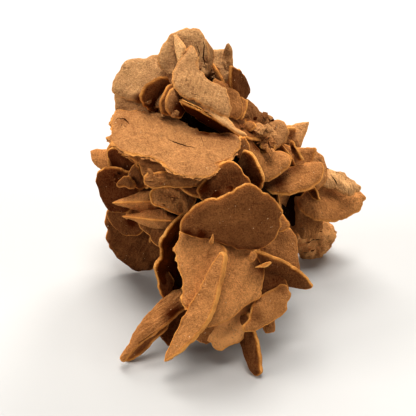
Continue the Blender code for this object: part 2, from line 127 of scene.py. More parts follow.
# Drawn blades. Each row holds: name, turn, lean, depth, thickness, outline on the sheet.
# turn is the degrees that the face looks to the right of the front, and lean the degrees that it
# looks up. depth is how far back the blade lies, in mm, on the sight line of its outline's middle.
# thickness is in mm.
topBlades = [
    ("shelf", 20, 75, 7, 3.2,
     [(107, 138), (112, 135), (110, 127), (113, 115), (117, 111), (140, 112), (160, 112), (170, 114),
      (180, 121), (190, 128), (200, 132), (215, 135), (230, 134), (238, 136), (241, 141), (240, 147),
      (237, 152), (230, 160), (222, 163), (215, 165), (221, 166), (216, 174), (209, 178), (195, 178),
      (187, 178), (178, 176), (168, 169), (160, 163), (150, 158), (140, 157), (130, 155), (120, 150),
      (112, 144)]),
    ("shelfLayer", 20, 75, 9, 2.4,
     [(113, 144), (113, 130), (130, 120), (200, 133), (230, 140), (236, 150), (222, 170), (212, 181),
      (195, 184), (180, 182), (160, 170), (140, 163), (125, 157)]),
    ("leftTop", -15, 45, 28, 3.0,
     [(113, 82), (116, 76), (120, 70), (124, 62), (129, 59), (135, 59), (140, 58), (145, 59), (150, 56),
      (157, 55), (165, 56), (172, 58), (177, 64), (182, 80), (178, 100), (160, 108), (150, 103),
      (140, 103), (117, 96), (112, 90)]),
    ("leftStrip", -10, 30, 23, 2.0,
     [(114, 92), (135, 96), (152, 96), (164, 106), (158, 118), (117, 118)]),
    ("crown", 5, 30, 30, 3.0,
     [(157, 56), (160, 50), (163, 46), (167, 40), (170, 35), (174, 33), (179, 32), (185, 28), (190, 27),
      (196, 30), (201, 31), (205, 37), (208, 45), (209, 55), (208, 64), (206, 74), (196, 84), (184, 86),
      (168, 78), (160, 66)]),
    ("crownRight", 35, 25, 31, 2.2,
     [(196, 40), (205, 38), (213, 52), (213, 62), (210, 75), (200, 82), (192, 66)]),
    ("crownChip", -35, 40, 26, 2.0,
     [(174, 34), (178, 36), (187, 50), (183, 56), (180, 64), (176, 58)]),
    ("spear", 15, 45, 20, 2.6,
     [(172, 76), (174, 70), (177, 64), (181, 58), (184, 53), (187, 48), (190, 45), (194, 46), (197, 51),
      (198, 58), (196, 66), (201, 72), (208, 79), (218, 85), (226, 90), (229, 98), (231, 108),
      (229, 118), (222, 116), (210, 109), (196, 102), (182, 96), (175, 89), (172, 82)]),
    ("overhang", -25, -35, 15.5, 2.0,
     [(180, 98), (196, 107), (212, 116), (226, 124), (240, 133), (247, 137), (242, 140), (229, 136),
      (213, 127), (199, 119), (186, 108)]),
    ("overhangTop", -5, 35, 14, 1.8,
     [(179, 94), (190, 96), (201, 100), (213, 107), (225, 116), (236, 127), (248, 136), (240, 135),
      (226, 126), (212, 117), (196, 108), (184, 101)]),
    # gapBack is a dark sheet behind the gap under the overhang, painted black as the shade there.
    ("gapBack", 0, 10, 30, 2.4,
     [(172, 92), (200, 98), (236, 110), (256, 128), (250, 148), (215, 150), (182, 140)]),
    ("roofA", 102, 54, 25, 2.2,
     [(224, 108), (240, 116), (252, 124), (263, 136), (262, 142), (250, 140), (238, 132), (224, 122)]),
    ("roofB", 100, 62, 30, 2.2,
     [(244, 117), (256, 118), (267, 124), (270, 131), (258, 132), (246, 128)]),
    ("stackOuter", 45, 15, 19, 2.0,
     [(176, 80), (166, 88), (161, 97), (159, 105), (162, 114), (174, 116), (186, 108), (186, 92)]),
    ("stackInner", 45, 15, 16, 2.0,
     [(176, 84), (168, 93), (165, 100), (166, 110), (170, 117), (180, 118), (188, 108), (184, 92)]),
    ("darkTop", 40, -10, 21, 2.6,
     [(139, 97), (143, 90), (148, 84), (157, 78), (166, 76), (172, 84), (171, 100), (165, 112),
      (152, 112), (144, 106)]),
    ("step", 25, 40, 22, 2.6,
     [(214, 78), (226, 84), (238, 93), (243, 104), (242, 115), (236, 120), (224, 116), (212, 100)]),
    ("stepChip", -10, 50, 24, 2.0,
     [(238, 98), (248, 100), (246, 112), (242, 121), (234, 118)]),
    ("block", -5, 40, 34, 2.6,
     [(212, 50), (225, 50), (232, 60), (234, 76), (224, 84), (208, 78), (206, 60)]),
    ("spike", -50, 10, 34, 2.2,
     [(225, 50), (230, 42), (232, 48), (232, 60), (231, 78), (222, 78), (223, 60)]),
    ("darkRight", 65, 0, 31, 2.2,
     [(231, 66), (240, 70), (247, 82), (251, 92), (247, 97), (241, 104), (233, 103), (230, 84)]),
    ("rightShoulder", 30, 30, 32, 2.6,
     [(236, 94), (250, 101), (262, 113), (272, 122), (272, 134), (262, 138), (246, 134), (236, 116)]),
]

rightBlades = [
    ("right1", 5, 50, 30, 2.6,
     [(262, 125), (275, 120), (285, 123), (289, 132), (286, 142), (272, 152), (256, 146), (252, 132)]),
    ("rubble1", 20, 60, 21, 2.6,
     [(248, 128), (258, 123), (268, 127), (271, 134), (266, 138), (255, 137), (250, 133)]),
    ("rubble2", 0, 70, 19, 1.6,
     [(258, 143), (266, 141), (275, 146), (272, 151), (262, 149)]),
    ("rubble3", -30, 50, 20, 1.6,
     [(243, 125), (252, 119), (257, 126), (250, 132)]),
    ("right2", -20, 30, 42, 2.4,
     [(284, 126), (298, 124), (309, 121), (306, 131), (301, 147), (290, 152), (278, 142)]),
    ("right3", 0, 70, 24, 2.2,
     [(254, 140), (266, 140), (276, 147), (270, 155), (256, 152)]),
    ("right4", 10, 50, 18, 3.0,
     [(248, 160), (262, 154), (280, 150), (288, 153), (292, 160), (288, 168), (276, 178), (260, 183),
      (246, 176)]),
    ("right5", 30, 35, 14, 2.8,
     [(240, 138), (250, 139), (259, 149), (264, 160), (262, 178), (250, 182), (236, 162)]),
    ("right6", -30, 10, 24, 1.8,
     [(288, 140), (293, 142), (299, 150), (303, 161), (298, 161), (292, 152)]),
    ("right7", -20, 40, 30, 2.6,
     [(283, 143), (294, 149), (306, 147), (316, 148), (313, 160), (306, 172), (292, 176), (284, 160)]),
    ("right8", 20, 40, 33, 2.8,
     [(306, 148), (313, 149), (323, 157), (327, 168), (327, 180), (318, 190), (306, 184), (300, 166)]),
    ("right9", 10, 60, 20, 3.2,
     [(260, 182), (268, 176), (280, 170), (296, 166), (310, 162), (321, 162), (324, 170), (321, 181),
      (312, 188), (298, 193), (284, 195), (272, 194), (264, 189)]),
    ("right10", 20, 51, 32, 2.8,
     [(316, 184), (322, 178), (327, 170), (340, 172), (350, 178), (357, 184), (361, 190), (354, 194),
      (347, 197), (340, 192), (333, 189), (326, 187)]),
    ("right11", 25, 50, 32, 3.2,
     [(297, 201), (304, 192), (316, 187), (330, 186), (345, 188), (360, 191), (366, 197), (363, 205),
      (359, 211), (346, 218), (333, 222), (318, 221), (306, 215), (299, 209)]),
    ("right12", -20, 20, 26, 1.8,
     [(307, 190), (314, 186), (318, 192), (321, 200), (313, 199)]),
    ("right13", -10, 10, 40, 2.0,
     [(284, 196), (300, 194), (304, 206), (300, 222), (292, 226), (282, 212)]),
    ("right14", 5, 20, 35, 2.8,
     [(295, 195), (304, 197), (310, 210), (322, 219), (323, 228), (314, 237), (302, 239), (296, 230)]),
    ("rightFoot", 15, 15, 44, 4.0,
     [(288, 230), (302, 227), (315, 225), (326, 221), (333, 226), (336, 236), (332, 246), (326, 252),
      (320, 258), (310, 259), (300, 256), (290, 249)]),
]

leftBlades = [
    ("left1", -20, 40, 36, 2.6,
     [(90, 151), (97, 149), (110, 150), (120, 158), (118, 170), (104, 172), (94, 163)]),
    ("left2", -40, -10, 28, 2.8,
     [(106, 153), (112, 147), (122, 148), (138, 158), (140, 172), (126, 180), (110, 172)]),
    ("left3", -25, 0, 25, 2.8,
     [(96, 180), (98, 171), (108, 166), (122, 168), (138, 176), (140, 200), (128, 212), (110, 212),
      (102, 202)]),
    ("left4a", -30, 30, 12, 2.2,
     [(116, 184), (121, 179), (128, 174), (134, 178), (136, 184), (134, 190), (124, 187)]),
    ("left4b", -35, 30, 14, 2.2,
     [(127, 176), (131, 167), (136, 163), (141, 169), (147, 184), (141, 190), (133, 186)]),
    ("left7", -5, 30, 3, 3.0,
     [(151, 203), (150, 192), (158, 186), (172, 186), (190, 189), (196, 200), (188, 214), (180, 215),
      (168, 211), (159, 207)]),
    ("left8", -20, 20, 6, 3.0,
     [(138, 219), (139, 225), (142, 230), (149, 235), (152, 241), (158, 247), (168, 247), (182, 236),
      (188, 222), (172, 210), (150, 213)]),
    ("leftFoot", -15, -5, 32, 4.0,
     [(105, 222), (107, 212), (113, 204), (130, 201), (158, 206), (176, 226), (174, 250), (162, 262),
      (152, 269), (145, 270), (138, 271), (128, 265), (118, 257), (110, 247), (106, 237), (108, 230)]),
    ("left9b", -20, 0, 28, 2.2,
     [(107, 212), (111, 205), (122, 203), (140, 206), (150, 222), (138, 236), (122, 235), (116, 230),
      (110, 221)]),
]

middleBlades = [
    ("underShelf1", -5, 20, -2, 2.6,
     [(143, 176), (152, 172), (168, 171), (190, 176), (208, 178), (200, 186), (182, 188), (165, 186),
      (152, 189), (145, 184)]),
    ("underShelf2", -25, 30, 2, 2.8,
     [(138, 162), (141, 157), (156, 156), (180, 164), (192, 176), (170, 178), (150, 182), (144, 178)]),
    ("middle1", 20, 15, -1, 3.0,
     [(222, 162), (230, 160), (238, 166), (247, 177), (255, 191), (248, 204), (225, 212), (205, 206),
      (195, 190), (206, 176)]),
    ("middle2", 0, 60, -2, 2.6,
     [(176, 184), (195, 177), (220, 178), (236, 186), (232, 198), (210, 200), (190, 196)]),
    ("middle3", 20, 10, 12, 2.6,
     [(232, 140), (245, 136), (250, 145), (247, 160), (243, 174), (232, 176), (224, 160)]),
    ("middle4", -45, 0, 6, 2.6,
     [(244, 150), (251, 151), (261, 168), (264, 178), (262, 190), (252, 196), (240, 184), (238, 164)]),
]

frontBlades = [
    ("frontDisc", 5, 5, -9, 3.0,
     [(180, 232), (181, 222), (185, 214), (195, 206), (205, 200), (212, 198), (217, 199), (225, 195),
      (235, 190), (245, 184), (250, 183), (257, 187), (265, 192), (275, 200), (281, 208), (283, 214),
      (280, 219), (281, 225), (279, 230), (276, 237), (272, 242), (265, 247), (255, 250), (245, 250),
      (235, 248), (222, 243), (210, 239), (195, 237), (185, 234)]),
    ("frontLeft", -10, 35, -12, 3.0,
     [(180, 232), (178, 240), (175, 250), (177, 262), (181, 273), (184, 284), (183, 295), (181, 302),
      (188, 309), (202, 303), (216, 284), (225, 264), (226, 250), (218, 236), (205, 228)]),
    ("frontFin", -30, 30, -21, 3.0,
     [(222, 251), (226, 256), (225, 265), (222, 280), (218, 297), (213, 312), (206, 327), (194, 340),
      (180, 352), (165, 363), (168, 352), (174, 340), (183, 320), (190, 307), (198, 294), (205, 281),
      (211, 269), (217, 258)]),
    ("frontLower", 10, 35, -13, 3.0,
     [(212, 238), (232, 236), (250, 240), (259, 248), (263, 258), (264, 272), (263, 287), (261, 297),
      (248, 303), (240, 311), (228, 320), (215, 326), (207, 328), (200, 310), (203, 275)]),
    ("frontBottom", 0, 35, -15, 3.0,
     [(203, 334), (206, 320), (220, 302), (248, 295), (262, 300), (260, 320), (250, 333), (240, 341),
      (230, 346), (220, 351), (215, 348), (209, 342)]),
    ("frontRight", 20, 30, -14.5, 3.0,
     [(243, 332), (242, 326), (249, 320), (250, 311), (254, 301), (262, 295), (272, 289), (281, 284),
      (288, 286), (291, 296), (286, 303), (287, 308), (281, 316), (272, 321), (265, 326), (255, 331)]),
    ("groove", 15, 25, -9, 2.4,
     [(256, 258), (268, 264), (284, 275), (289, 288), (286, 296), (270, 300), (256, 300), (250, 280)]),
    ("wing", 0, -18, -8, 2.2,
     [(254, 249), (262, 251), (270, 255), (280, 259), (292, 265), (305, 275), (314, 286), (304, 288),
      (290, 286), (280, 280), (270, 272), (259, 261)]),
    ("wingChipA", 0, 50, -14, 1.0,
     [(254, 268), (263, 263), (272, 262), (264, 268)]),
    ("wingChipB", 0, 20, -8, 2.0,
     [(244, 246), (254, 248), (256, 258), (248, 264), (240, 256)]),
    ("roundChip", 5, 35, -14, 1.8,
     [(248, 256), (250, 252), (254, 252), (257, 255), (256, 260), (252, 263), (249, 260)]),
    ("sliver", -25, 20, -13.4, 1.2,
     [(210, 244), (211, 236), (213, 233), (214, 237), (213, 244)]),
    ("rightOfDisc", 25, 25, 2, 2.6,
     [(262, 226), (281, 225), (290, 227), (296, 238), (298, 255), (300, 271), (288, 270), (270, 262),
      (258, 246)]),
    ("discChip", -20, 20, 2, 2.0,
     [(242, 206), (282, 214), (290, 226), (284, 232), (244, 226)]),
    ("leftOfDisc", 40, 0, -2, 3.0,
     [(190, 211), (178, 217), (170, 225), (163, 235), (159, 243), (160, 251), (161, 257), (155, 261),
      (153, 268), (157, 280), (160, 290), (164, 299), (174, 295), (188, 284), (204, 264), (212, 246),
      (212, 226), (200, 212)]),
    ("leftChip", 30, 5, -6, 2.0,
     [(157, 270), (166, 268), (174, 280), (172, 294), (164, 299), (158, 288)]),
    ("leftToe", -20, 50, -13, 3.0,
     [(198, 284), (182, 288), (172, 291), (162, 299), (150, 312), (140, 323), (134, 333), (128, 345),
      (121, 354), (120, 359), (124, 362), (133, 352), (143, 342), (157, 333), (170, 322), (184, 310),
      (202, 300)]),
    ("leftToeLayer", -20, 50, -12, 2.0,
     [(133, 348), (145, 339), (158, 329), (172, 318), (168, 328), (158, 338), (150, 345), (145, 351),
      (132, 360), (125, 362)]),
    ("toeGap", 0, 20, -8, 2.4,
     [(159, 334), (170, 318), (184, 296), (198, 284), (194, 316), (180, 340), (168, 346)]),
    ("frontFoot", -45, 12, -18, 3.0,
     [(240, 341), (242, 330), (238, 316), (250, 311), (255, 331), (258, 342), (262, 360), (263, 372),
      (258, 376), (251, 369), (245, 355)]),
    ("footChipA", 20, 5, -12, 2.0,
     [(258, 306), (272, 306), (275, 318), (275, 331), (265, 333)]),
    ("footChipB", 10, 10, -16, 2.0,
     [(194, 318), (214, 320), (216, 338), (206, 345), (195, 339)]),
]

drawnBlades = topBlades + rightBlades + leftBlades + middleBlades + frontBlades

# Blades of the sides, the back and the heart of the cluster, placed in mm about the rose's middle
# on the floor: name, turn, lean, middle, half length, half width, thickness.
placedBlades = [
    ("back01", 175, 20, (-5, 40, 69), 12, 10, 2.4),
    ("back02", 110, 15, (3, 36, 68), 11, 11, 2.4),
    ("back03", 200, 35, (-19, 38, 60), 11, 10, 2.4),
    ("back04", 160, -5, (3, 46, 58), 11, 12, 2.4),
    ("back05", 215, 10, (-14, 45, 50), 15, 12, 2.6),
    ("back06", 190, 45, (18, 42, 48), 12, 10, 2.4),
    ("back07", 120, 20, (24, 36, 42), 12, 11, 2.4),
    ("back08", 235, -15, (-26, 38, 42), 12, 12, 2.4),
    ("back09", 170, 25, (-4, 48, 38), 16, 13, 2.8),
    ("back10", 230, -5, (14, 46, 34), 14, 14, 2.6),
    ("back11", 175, 40, (32, 44, 31), 14, 11, 2.4),
    ("back12", 155, 5, (-19, 44, 29), 14, 13, 2.6),
    ("back13", 140, -15, (26, 48, 19), 14, 13, 2.6),
    ("back14", 200, -15, (1, 46, 22), 15, 13, 2.6),
    ("back15", 240, 20, (-13, 38, 17), 13, 11, 2.4),
    ("back16", 170, -50, (12, 38, 13), 14, 11, 2.4),
    ("back17", 100, 30, (-12, 45, 63), 8, 8, 2.2),
    ("back18", 180, 70, (11, 46, 44), 12, 9, 2.2),
    ("back19", 75, 10, (-11, 49, 41), 8, 11, 2.2),
    ("back20", 200, 75, (-28, 42, 36), 9, 8, 2.2),
    ("back21", 190, 75, (23, 46, 27), 12, 9, 2.2),
    ("back22", 60, -20, (6, 50, 30), 9, 10, 2.2),
    ("back23", 180, 60, (-8, 46, 26), 11, 9, 2.2),
    ("back24", 120, 10, (37, 44, 26), 8, 9, 2.2),
    ("back25", 150, 60, (5, 42, 62), 9, 8, 2.2),
    ("side01", -80, 15, (-19, 29, 47), 12, 10, 2.4),
    ("side02", -110, 20, (-22, 34, 32), 12, 11, 2.4),
    ("side03", -70, -20, (-15, 16, 26), 13, 12, 2.4),
    ("side04", 85, 25, (18, 31, 47), 11, 9, 2.4),
    ("side05", 100, 5, (21, 27, 34), 12, 11, 2.4),
    ("side06", 65, -15, (25, 38, 24), 13, 11, 2.4),
    ("side07", 95, 15, (16, 6, 24), 12, 12, 2.4),
    ("heart01", 0, 15, (4, 6, 40), 17, 18, 4.0),
    ("heart02", 90, 0, (2, 20, 40), 20, 20, 4.0),
    ("heart03", 40, 10, (6, 22, 38), 20, 20, 4.0),
    ("heart04", -45, -10, (2, 24, 36), 20, 20, 4.0),
    ("heart05", 0, 80, (2, 22, 50), 14, 12, 4.0),
    ("heart06", 10, 85, (6, 26, 28), 22, 20, 4.0),
    ("heart07", 20, -20, (3, -2, 25), 14, 13, 4.0),
    ("heart08", 80, 10, (-4, 30, 68), 10, 12, 4.0),
]

# Two thick lenses at the left that stand edge-on to the front, with a tip that points left:
# name, turn, lean, middle, half length, half width, thickness.
spikes = [
    ("leftSpikeUpper", 4, -60, (-20.5, 10, 41.4), 9, 8, 6.4),
    ("leftSpikeLower", -6, -62, (-17, 6, 38.0), 9.5, 8, 6.0),
]
spikeLook = {
    "step": 0.5, "rim": 0.4, "slope": 5.5, "terrace": 0.04, "warp": 0.1, "straight": 1, "toneAndShading": 1.05,
}

# What differs from bladeSettings on single drawn blades. Their tones hold painted shade and light besides
# colour: low tones darken blades that lie in shade, and tones above 1 lighten blades that the lamps leave
# dark.
bladeLooks = {
    "shelf": {"step": 0.45, "rim": 1.3, "slope": 5.0, "corner": 0.25, "ragged": 0.16, "nicks": 5,
        "nickDepth": 0.35, "sheets": 3, "relief": 0.12, "terrace": 0.05, "warp": 0.05, "toneAndShading": 0.78,
        "glow": 0.55, "pale": 0.35},
    "shelfLayer": {"rim": 1.5, "ragged": 0.3, "nicks": 5, "sheets": 2, "toneAndShading": 0.6},
    "leftTop": {"rim": 1.2, "relief": 0.18, "terrace": 0.2, "toneAndShading": 0.85, "glow": 0.25, "fibre": 1.2,
        "fibreTurn": 25, "pale": 1.0},
    "leftStrip": {"toneAndShading": 0.75, "glow": 0.25, "fibre": 0.8, "fibreTurn": 10, "pale": 0.8},
    "crown": {"terrace": 0.16, "toneAndShading": 0.84, "glow": 0.3, "fibre": 0.8, "fibreTurn": 75, "pale": 1.0},
    "crownRight": {"relief": 0.25, "toneAndShading": 0.7, "glow": 0.3, "fibre": 1.0, "pale": 0.9},
    "crownChip": {"toneAndShading": 1.15, "glow": 0.25, "pale": 1.0},
    "spear": {"rim": 1.3, "slope": 1.5, "corner": 0.25, "ragged": 0.16, "nicks": 3, "toneAndShading": 0.88,
        "glow": 0.35, "fibre": 0.7, "fibreTurn": 65, "pale": 0.8},
    "overhang": {"sheets": 2, "toneAndShading": -0.08, "glow": 1.3, "fibre": 1.2},
    # Painted highlight: overhangTop's high tone and paleness light a face that turns down into shade.
    "overhangTop": {"rim": 1.0, "toneAndShading": 1.5, "glow": 0.5, "fibre": 1.0, "fibreTurn": -35, "pale": 1.4},
    # Painted shade: gapBack is painted black.
    "gapBack": {"toneAndShading": -0.4, "glow": 0.0},
    "roofA": {"toneAndShading": 0.35},
    "roofB": {"toneAndShading": 0.3},
    "stackOuter": {"toneAndShading": 0.5, "glow": 0.6},
    "stackInner": {"toneAndShading": 0.7, "glow": 0.5, "pale": 0.4},
    "darkTop": {"toneAndShading": 0.2},
    "step": {"toneAndShading": 0.6, "glow": 0.5},
    "block": {"toneAndShading": 0.92, "glow": 0.2, "pale": 1.0},
    "spike": {"toneAndShading": 0.95, "glow": 0.2, "pale": 1.2},
    "darkRight": {"relief": 0.2, "toneAndShading": 0.2, "fibre": 1.0},
    "rightShoulder": {"toneAndShading": 0.4, "glow": 0.3, "fibre": 1.4, "pale": 0.3},
    "right1": {"toneAndShading": 0.8, "glow": 0.5, "pale": 0.5},
    "rubble1": {"relief": 0.3, "toneAndShading": 1.0, "glow": 0.2, "pale": 0.5},
    # Painted light: right2's high tone lightens a blade that lies in shade.
    "right2": {"toneAndShading": 1.35, "glow": 0.4, "pale": 0.5},
    "right3": {"toneAndShading": 0.25},
    "right4": {"toneAndShading": 0.88, "glow": 0.7, "fibre": 0.5, "fibreTurn": 20},
    "right5": {"toneAndShading": 0.8, "glow": 0.3, "fibre": 0.8},
    "right6": {"toneAndShading": 0.3, "glow": 1.2},
    "right8": {"terrace": 0.25, "toneAndShading": 0.78, "glow": 0.3, "pale": 0.2},
    "right9": {"relief": 0.05, "terrace": 0.04, "toneAndShading": 0.82, "fibre": 0.5, "fibreTurn": 15},
    "right10": {"ragged": 0.25, "nicks": 5, "relief": 0.2, "terrace": 0.3, "toneAndShading": 1.0, "glow": 0.2,
        "fibre": 1.4, "pale": 0.9},
    "right11": {"relief": 0.14, "toneAndShading": 0.82, "glow": 0.6},
    "right12": {"toneAndShading": 0.1, "glow": 1.0},
    # Painted shade: right13's tone below 0 paints it black.
    "right13": {"toneAndShading": -0.3, "glow": 0.0},
    "right14": {"relief": 0.3, "toneAndShading": 0.75, "glow": 0.1, "fibre": 1.4},
    "rightFoot": {"step": 0.5, "rim": 1.8, "ragged": 0.3, "sheets": 3, "relief": 0.55, "terrace": 0.45,
        "toneAndShading": 1.42, "glow": 0.1, "fibre": 1.0, "fibreTurn": 15, "pale": 0.3},
    "left1": {"toneAndShading": 0.85, "glow": 0.2},
    # Painted shade: left2 and left3 lie under the shelf, and their low tones paint that shade.
    "left2": {"toneAndShading": 0.08},
    "left3": {"toneAndShading": 0.11},
    "left4a": {"ragged": 0.25, "toneAndShading": 0.35, "glow": 0.6},
    "left4b": {"toneAndShading": 0.3},
    "left7": {"relief": 0.4, "terrace": 0.2, "toneAndShading": 0.95, "glow": 1.8},
    "left8": {"relief": 0.3, "toneAndShading": 0.32, "glow": 0.9, "fibre": 0.9, "fibreTurn": 70},
    "leftFoot": {"relief": 0.2, "toneAndShading": 0.25, "fibre": 0.6, "fibreTurn": 60},
    "left9b": {"rim": 1.3, "toneAndShading": 0.3, "glow": 0.9},
    "underShelf1": {"relief": 0.2, "toneAndShading": 0.62, "glow": 0.9, "fibre": 1.6, "fibreTurn": 4},
    "underShelf2": {"toneAndShading": 0.5, "glow": 0.7, "fibre": 1.5, "fibreTurn": 8},
    "middle1": {"toneAndShading": 0.25},
    "middle2": {"toneAndShading": 0.25},
    "middle3": {"toneAndShading": 0.5, "glow": 1.2},
    "middle4": {"toneAndShading": 0.08, "glow": 1.2},
    # Painted shade: frontDisc faces the front, away from the light, and its low tone paints it darker.
    "frontDisc": {"rim": 1.1, "relief": 0.12, "toneAndShading": 0.36, "fibre": 0.5},
    "frontLeft": {"rim": 2.2, "ragged": 0.2, "sheets": 2, "sheetOffset": 0.25, "toneAndShading": 1.0,
        "glow": 1.2},
    "frontFin": {"rim": 2.8, "slope": 1.4, "rounding": 0.2, "edge": 0.9, "relief": 0.12,
        "terrace": 0.06, "toneAndShading": 0.92, "glow": 1.1, "fibre": 0.8, "fibreTurn": 62},
    "frontLower": {"toneAndShading": 1.04, "glow": 0.5, "fibre": 0.6, "fibreTurn": 50},
    # Painted light: frontBottom's high tone lightens a blade that lies in shade.
    "frontBottom": {"toneAndShading": 1.5, "glow": 0.5, "pale": 0.15},
    "frontRight": {"rim": 1.3, "toneAndShading": 0.86},
    # Painted shade: the groove's low tone paints the shade between frontLower and the wing.
    "groove": {"toneAndShading": 0.22, "glow": 0.4},
    "wing": {"toneAndShading": 0.3, "glow": 0.9, "fibre": 1.0, "fibreTurn": -20},
    "wingChipA": {"toneAndShading": 0.9, "glow": 1.2},
    "roundChip": {"toneAndShading": 0.8, "glow": 0.4},
    "sliver": {"toneAndShading": 0.85, "glow": 1.0},
    "rightOfDisc": {"glow": 0.6},
    "leftOfDisc": {"relief": 0.3, "toneAndShading": -0.05, "glow": 1.0},
    "leftChip": {"toneAndShading": 0.1},
    "leftToe": {"glow": 0.5, "fibre": 1.3, "fibreTurn": 48},
    "leftToeLayer": {"toneAndShading": 0.3},
    # Painted shade: toeGap's low tone paints the shade in the gap between the toe and the fin.
    "toeGap": {"toneAndShading": 0.1, "glow": 0.3},
    "frontFoot": {"toneAndShading": 0.25, "fibre": 1.0, "fibreTurn": 100},
    "footChipA": {"toneAndShading": 0.6},
    "footChipB": {"toneAndShading": 0.6},
}

# Painted shading on drawn blades: places where a blade's tone is darkened as painted shade in the shelter
# of its neighbours, or lightened as painted light: its name, the place's middle on the sheet, radius in mm
# and change of tone.
paintedShading = [
    ("right9", (291, 169), 5.5, -0.6),
    ("right9", (276, 184), 5.5, -0.75),
    ("leftToe", (178, 317), 6.0, -0.8),
    ("frontLower", (263, 267), 5.0, -0.95),
    ("stackInner", (179, 109), 6.0, -0.8),
    ("stackOuter", (176, 113), 5.0, -0.7),
    ("rubble1", (260, 136), 3.0, -0.7),
    ("roofA", (241, 121), 4.0, 0.6),
    ("roofA", (249, 130), 4.0, 0.5),
    ("roofA", (263, 138), 3.5, -0.4),
    ("rubble2", (272, 148), 4.0, -0.8),
    ("shelf", (123, 125), 3.5, -0.25),
    ("shelf", (202, 134), 4.0, -0.5),
    ("shelf", (212, 136), 4.5, -0.4),
    ("shelf", (226, 138), 4.5, -0.5),
    ("frontFin", (190, 299), 4.0, -0.45),
    ("frontRight", (280, 287), 3.5, -0.45),
    ("frontRight", (255, 315), 3.5, -0.45),
    ("leftStrip", (121, 111), 3.5, -0.3),
    ("middle1", (199, 184), 4.0, -0.35),
    ("middle2", (215, 196), 3.0, -0.3),
    ("middle2", (232, 187), 3.0, -0.3),
    ("middle4", (244, 160), 3.0, 0.5),
    ("frontDisc", (187, 233), 3.0, -0.4),
    ("frontDisc", (201, 233), 3.0, -0.4),
    ("left9b", (133, 220), 3.5, -0.4),
    ("right1", (265, 143), 4.5, -0.9),
    ("right3", (268, 150), 4.5, -0.8),
    ("right5", (258, 144), 4.5, -0.9),
    ("frontLeft", (190, 233), 3.0, -0.5),
    ("left2", (118, 167), 3.5, -0.3),
    ("right11", (308, 197), 4.0, -0.6),
    ("leftTop", (142, 102), 4.0, -0.9),
    ("leftTop", (170, 77), 4.0, -0.6),
    ("right11", (349, 203), 5.0, 0.35),
]

# Cracks cut into a drawn blade: its name, the line on the sheet, width and depth in mm.
cracks = [
    ("shelf", [(168, 144), (176, 147), (184, 149), (194, 152)], 0.6, 1.8),
    ("shelf", [(112, 126), (118, 121), (124, 123), (129, 128)], 0.6, 1.5),
    ("shelf", [(119, 133), (122, 127), (126, 131)], 0.5, 1.2),
    ("shelf", [(214, 163), (209, 166), (203, 166)], 0.3, 0.5),
    ("leftTop", [(114, 93), (124, 95), (133, 99), (146, 101)], 0.45, 0.7),
    ("leftTop", [(122, 84), (134, 78), (148, 72)], 0.18, 0.2),
    ("crown", [(201, 36), (204, 46), (203, 58), (205, 68)], 0.5, 1.2),
    ("crown", [(196, 44), (199, 54), (197, 64)], 0.3, 0.6),
    ("spear", [(184, 92), (196, 96), (207, 101)], 0.4, 0.8),
    ("frontDisc", [(262, 244), (270, 234), (275, 224)], 0.16, 0.2),
    ("frontDisc", [(257, 243), (266, 232), (270, 222)], 0.14, 0.16),
    ("right11", [(336, 199), (342, 198), (346, 196)], 0.2, 0.3),
    ("right10", [(329, 176), (334, 183), (338, 190)], 0.4, 0.8),
    ("shelf", [(195, 129), (199, 137), (202, 146), (204, 152)], 0.14, 0.16),
    ("rightFoot", [(300, 244), (312, 238), (326, 236)], 0.5, 0.9),
    ("rightFoot", [(298, 252), (310, 249), (322, 246)], 0.4, 0.7),
    ("rightFoot", [(304, 234), (316, 230), (328, 229)], 0.4, 0.7),
    ("leftToe", [(131, 352), (142, 342), (152, 335), (162, 328)], 0.6, 1.4),
    ("frontLeft", [(216, 244), (217, 252), (214, 260)], 0.2, 0.3),
    ("frontRight", [(258, 306), (268, 300), (280, 297)], 0.2, 0.3),
    ("left7", [(158, 200), (170, 197), (182, 199)], 0.3, 0.5),
]

# Small broken crystals lodged on a drawn blade, as patches: its name, the patch's middle and radius on
# the sheet, how many, and their size in mm.
crumbPatches = [
    ("block", (213, 74), 8, 9, 1.3),
    ("block", (226, 66), 4, 6, 1.4),
    ("crown", (202, 68), 5, 8, 1.5),
    ("darkTop", (152, 105), 8, 12, 1.5),
    ("leftStrip", (152, 110), 6, 8, 1.3),
    ("stackInner", (171, 114), 4, 5, 1.2),
    ("shelf", (162, 113), 6, 7, 1.5),
    ("shelf", (113, 128), 3, 4, 1.1),
    ("rightShoulder", (256, 124), 8, 14, 1.6),
    ("roofA", (254, 134), 6, 8, 1.4),
    ("right1", (270, 127), 8, 8, 1.3),
    ("right3", (264, 146), 7, 8, 1.3),
    ("rubble1", (258, 130), 9, 16, 1.9),
    ("rubble2", (270, 146), 8, 12, 1.8),
    ("right1", (266, 138), 9, 16, 2.0),
    ("right2", (288, 140), 6, 8, 1.5),
    ("roofA", (245, 122), 6, 10, 1.7),
    ("right6", (292, 148), 5, 5, 1.4),
    ("right8", (310, 155), 5, 5, 1.3),
    ("underShelf1", (152, 180), 7, 7, 1.2),
    ("left7", (168, 194), 8, 9, 1.1),
    ("left3", (118, 176), 7, 7, 1.3),
    ("frontLower", (250, 254), 3, 3, 1.5),
    ("toeGap", (178, 318), 6, 6, 1.2),
    ("footChipA", (267, 320), 4, 4, 1.2),
    ("rightFoot", (314, 242), 10, 10, 1.2),
]

